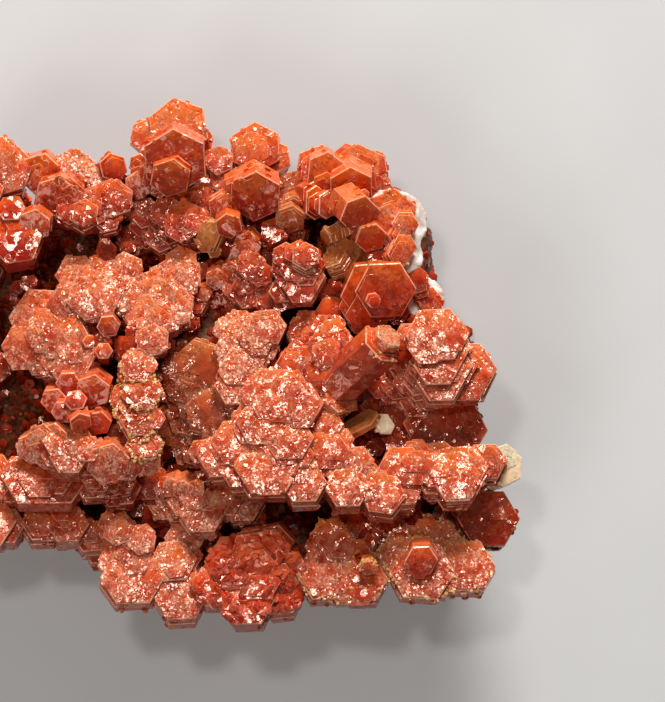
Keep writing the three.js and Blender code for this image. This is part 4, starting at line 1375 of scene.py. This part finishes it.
def crystal_material(slot):
    nodes = Nodes(slot)
    cells = nodes.cells(FACET_SIZE)
    # pale frost speckle: partly the frosting's own colour, partly painted sheen standing in for glints
    speckle_and_sheen = nodes.math("MULTIPLY", nodes.mark("frost"), nodes.ramp(cells, SPECKLE_AND_SHEEN_SHARES))
    frost = nodes.math("MULTIPLY", speckle_and_sheen, nodes.ramp(nodes.noise(1.3), FROST_SHARES))
    gloss = nodes.math("MULTIPLY_ADD", nodes.noise(0.6), 0.3, 0.0)
    roughness = nodes.math("MULTIPLY_ADD", frost, FROST_ROUGHNESS, gloss)
    nodes.surface(crystal_colour(nodes, PALETTES[slot], frost), roughness, VANADINITE)
    lean = nodes.math("MULTIPLY_ADD", nodes.mark("frost"), FROST_LEAN, FACET_LEAN)
    facets = nodes.facets((cells, lean), (nodes.cells(PATCH_SIZE), PATCH_LEAN))
    nodes.bump(nodes.noise(0.25, detail=4), 0.15, 0.05, facets)
    return nodes.material


def rock_material():
    nodes = Nodes("rock")
    roughness = nodes.math("MULTIPLY_ADD", nodes.noise(0.6), 0.5, 0.2)
    nodes.surface(nodes.ramp(nodes.noise(3.0, detail=6), ROCK_COLOURS), roughness, ROCK)
    facets = nodes.facets((nodes.cells(ROCK_FACET_SIZE), ROCK_FACET_LEAN))
    nodes.bump(nodes.noise(0.5, detail=6), 0.6, 0.2, facets)
    return nodes.material


def barite_material():
    nodes = Nodes("barite")
    roughness = nodes.math("MULTIPLY_ADD", nodes.noise(0.4), 0.3, 0.25)
    nodes.surface(nodes.ramp(nodes.noise(1.8, detail=5), BARITE_COLOURS), roughness, BARITE)
    nodes.bump(nodes.noise(0.3, detail=5), 0.4, 0.08)
    return nodes.material


def floor_material():
    nodes = Nodes("floor")
    nodes.surface(nodes.ramp(nodes.noise(40.0), FLOOR_COLOURS), 0.9, {})
    return nodes.material


# ---- rock and barite -----------------------------------------------------------------------------
ROCK_VOXEL = 0.7
ROCK_WAVES = ((5.0, 1.1), (1.8, 0.5), (0.8, 0.18))      # size and height of its unevenness
BARITE_VOXEL = 0.28
BARITE_WAVES = ((2.2, 0.5), (0.7, 0.25), (0.3, 0.08))
# Druse on the rock: from and up to which level, crystals for each square millimetre, radii, look.
ROCK_DRUSE = (
    (1.5, 7.0, 0.55, (0.3, 1.0), replace(FROSTED, tone=0.15, frost=0.08)),
    (7.0, 99.0, 1.6, (0.2, 0.8), replace(FROSTED, tone=0.25, frost=0.1)),
)
ROCK_FOOT = 0.4                                         # level below which it stays as it is


def remesh(obj, voxel_mm):
    """Gives the object an even mesh, fine enough to be roughened."""
    modifier = obj.modifiers.new("remesh", "REMESH")
    modifier.mode = "VOXEL"
    modifier.voxel_size = voxel_mm * MM
    depsgraph = bpy.context.evaluated_depsgraph_get()
    mesh = bpy.data.meshes.new_from_object(obj.evaluated_get(depsgraph))
    obj.modifiers.clear()
    obj.data = mesh


def worn_stone(name, node, voxel_mm, waves, still_below):
    """An object like a CAD node's solid, with a natural surface."""
    stone = new_object(name, frame["nodes"][node].data.copy())
    remesh(stone, voxel_mm)
    roughen(stone.data, waves, still_below)
    stone.data.shade_smooth()
    return stone


def roughen(mesh, waves, still_below):
    """Moves each vertex along its normal by layered noise, and leaves the foot as it is."""
    count = len(mesh.vertices)
    points, normals = np.empty(count * 3), np.empty(count * 3)
    mesh.vertices.foreach_get("co", points)
    mesh.vertices.foreach_get("normal", normals)
    points, normals = points.reshape(-1, 3) / MM, normals.reshape(-1, 3)
    push = np.array([
        sum(height * noise.noise(Vector(point) / size) for size, height in waves) for point in points
    ])
    moved = points + normals * push[:, None]
    moved[:, 2] = np.maximum(moved[:, 2], still_below)
    moving = points[:, 2] >= still_below
    points[moving] = moved[moving]
    mesh.vertices.foreach_set("co", (points * MM).ravel())
    mesh.update()


def new_object(name, mesh):
    obj = bpy.data.objects.new(name, mesh)
    bpy.context.scene.collection.objects.link(obj)
    return obj


def stand_in(obj, node, material):
    """obj takes a CAD node's place on the specimen."""
    obj.data.materials.clear()
    obj.data.materials.append(material)
    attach(obj, "root")
    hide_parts(node)


def rock_druse(mesh, rng):
    """Dark crystals over the rock: thick above, thinner on its sides, none on its flat foot."""
    mesh.calc_loop_triangles()
    corners = np.array([vertex.co for vertex in mesh.vertices]) / MM
    triangles = np.array([triangle.vertices for triangle in mesh.loop_triangles])
    height = corners[triangles][:, :, 2].min(axis=1)
    linings = [
        druse(corners, triangles[(height > low) & (height <= high)], per_mm2, radii, look, rng)
        for low, high, per_mm2, radii, look in ROCK_DRUSE
    ]
    lining = Plates.join(linings)
    return lining.pick(~buried(lining.centre, None))


def rooted(crystals, mesh):
    """The crystals whose feet stand inside the rock."""
    rock = BVHTree.FromPolygons(
        [vertex.co / MM for vertex in mesh.vertices], [polygon.vertices for polygon in mesh.polygons],
    )
    kept = []
    for crystal in crystals:
        foot = Vector(crystal.centre - crystal.basis[:, 2] * crystal.depth)
        surface, normal, _, _ = rock.find_nearest(foot)
        if (foot - surface).dot(normal) < -crystal.radius * ROOTED_DEPTH:
            kept.append(crystal)
    return kept


def rock_shells(mesh, rng):
    """The shells of everything that grows on the rock between the fans."""
    hollows = rooted(hollow_crystals(rng), mesh)
    plates = Plates.join([crystal_plates(crystal, rng) for crystal in hollows])
    return Shells.join([plate_shells(rock_druse(mesh, rng), False), plate_shells(plates, False)])


def build_rock(rng):
    rock = worn_stone("rock_matrix_stone", "rock_matrix", ROCK_VOXEL, ROCK_WAVES, ROCK_FOOT)
    stand_in(rock, "rock_matrix", rock_material())
    crystals = new_object("rock_matrix_druse", mesh_of("rock_druse", rock_shells(rock.data, rng)))
    crystals.data.materials.append(MATERIALS["deep_red_vanadinite"])
    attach(crystals, "root")


def build_barite(node):
    blade = worn_stone(node + "_stone", node, BARITE_VOXEL, BARITE_WAVES, 0)
    stand_in(blade, node, barite_material())


# ---- the whole specimen --------------------------------------------------------------------------
SLOTS = {part["node"]: part["material_slot"] for part in frame["record"]["subparts"]}
MATERIALS = {slot: crystal_material(slot) for slot in PALETTES}


def build_crystals():
    for index, (piece, fans) in enumerate(fans_by_piece().items()):
        rng = np.random.default_rng((SEED, index))
        shells = Shells.join([fan_shells(fan, rng) for fan in fans])
        obj = new_object(piece + "_crystals", mesh_of(piece, shells))
        stand_in(obj, piece, MATERIALS[SLOTS[piece]])


# ---- stage ---------------------------------------------------------------------------------------
VIEW_MIDDLE = (15.06, 1.125, 18.0)      # what the camera looks at
VIEW_HEIGHT = 87.75                     # of the picture, at that level
CAMERA_DISTANCE = 600.0
SENSOR = 36.0
FLOOR_HALF = 1.5                        # metres


def add_camera():
    data = bpy.data.cameras.new("camera")
    data.sensor_width = SENSOR
    data.lens = SENSOR * CAMERA_DISTANCE / VIEW_HEIGHT
    data.clip_start = 0.01
    camera = new_object("camera", data)
    x, y, z = VIEW_MIDDLE
    camera.location = (x * MM, y * MM, (z + CAMERA_DISTANCE) * MM)
    bpy.context.scene.camera = camera


def add_softbox(name, direction, elevation, distance, size, power):
    """A square lamp in that compass direction and elevation, facing the specimen."""
    data = bpy.data.lights.new(name, "AREA")
    data.size = size
    data.energy = power
    lamp = new_object(name, data)
    turn, rise = np.radians(direction), np.radians(elevation)
    away = Vector((np.cos(turn) * np.cos(rise), np.sin(turn) * np.cos(rise), np.sin(rise)))
    lamp.location = away * distance
    lamp.rotation_euler = away.to_track_quat("Z", "Y").to_euler()


def add_floor():
    mesh = bpy.data.meshes.new("floor")
    corners = [(x * FLOOR_HALF, y * FLOOR_HALF, 0) for x, y in ((-1, -1), (1, -1), (1, 1), (-1, 1))]
    mesh.from_pydata(corners, [], [(0, 1, 2, 3)])
    floor = new_object("floor", mesh)
    mesh.materials.append(floor_material())


def add_world():
    world = bpy.data.worlds.new("studio")
    world.use_nodes = True
    background = world.node_tree.nodes["Background"]
    background.inputs["Color"].default_value = (1, 0.96, 0.92, 1)
    background.inputs["Strength"].default_value = 0.15
    bpy.context.scene.world = world


bpy.context.scene.view_settings.view_transform = "Standard"
build_crystals()
build_rock(np.random.default_rng((SEED, ROCK_SEED)))
build_barite("barite_blade_upper")
build_barite("barite_blade_lower")
add_camera()
add_softbox("key", direction=82, elevation=28, distance=0.7, size=0.24, power=6.5)
add_softbox("fill", direction=232, elevation=45, distance=0.9, size=0.4, power=2.2)
add_softbox("spark", direction=120, elevation=72, distance=0.8, size=0.07, power=1.0)
add_floor()
add_world()
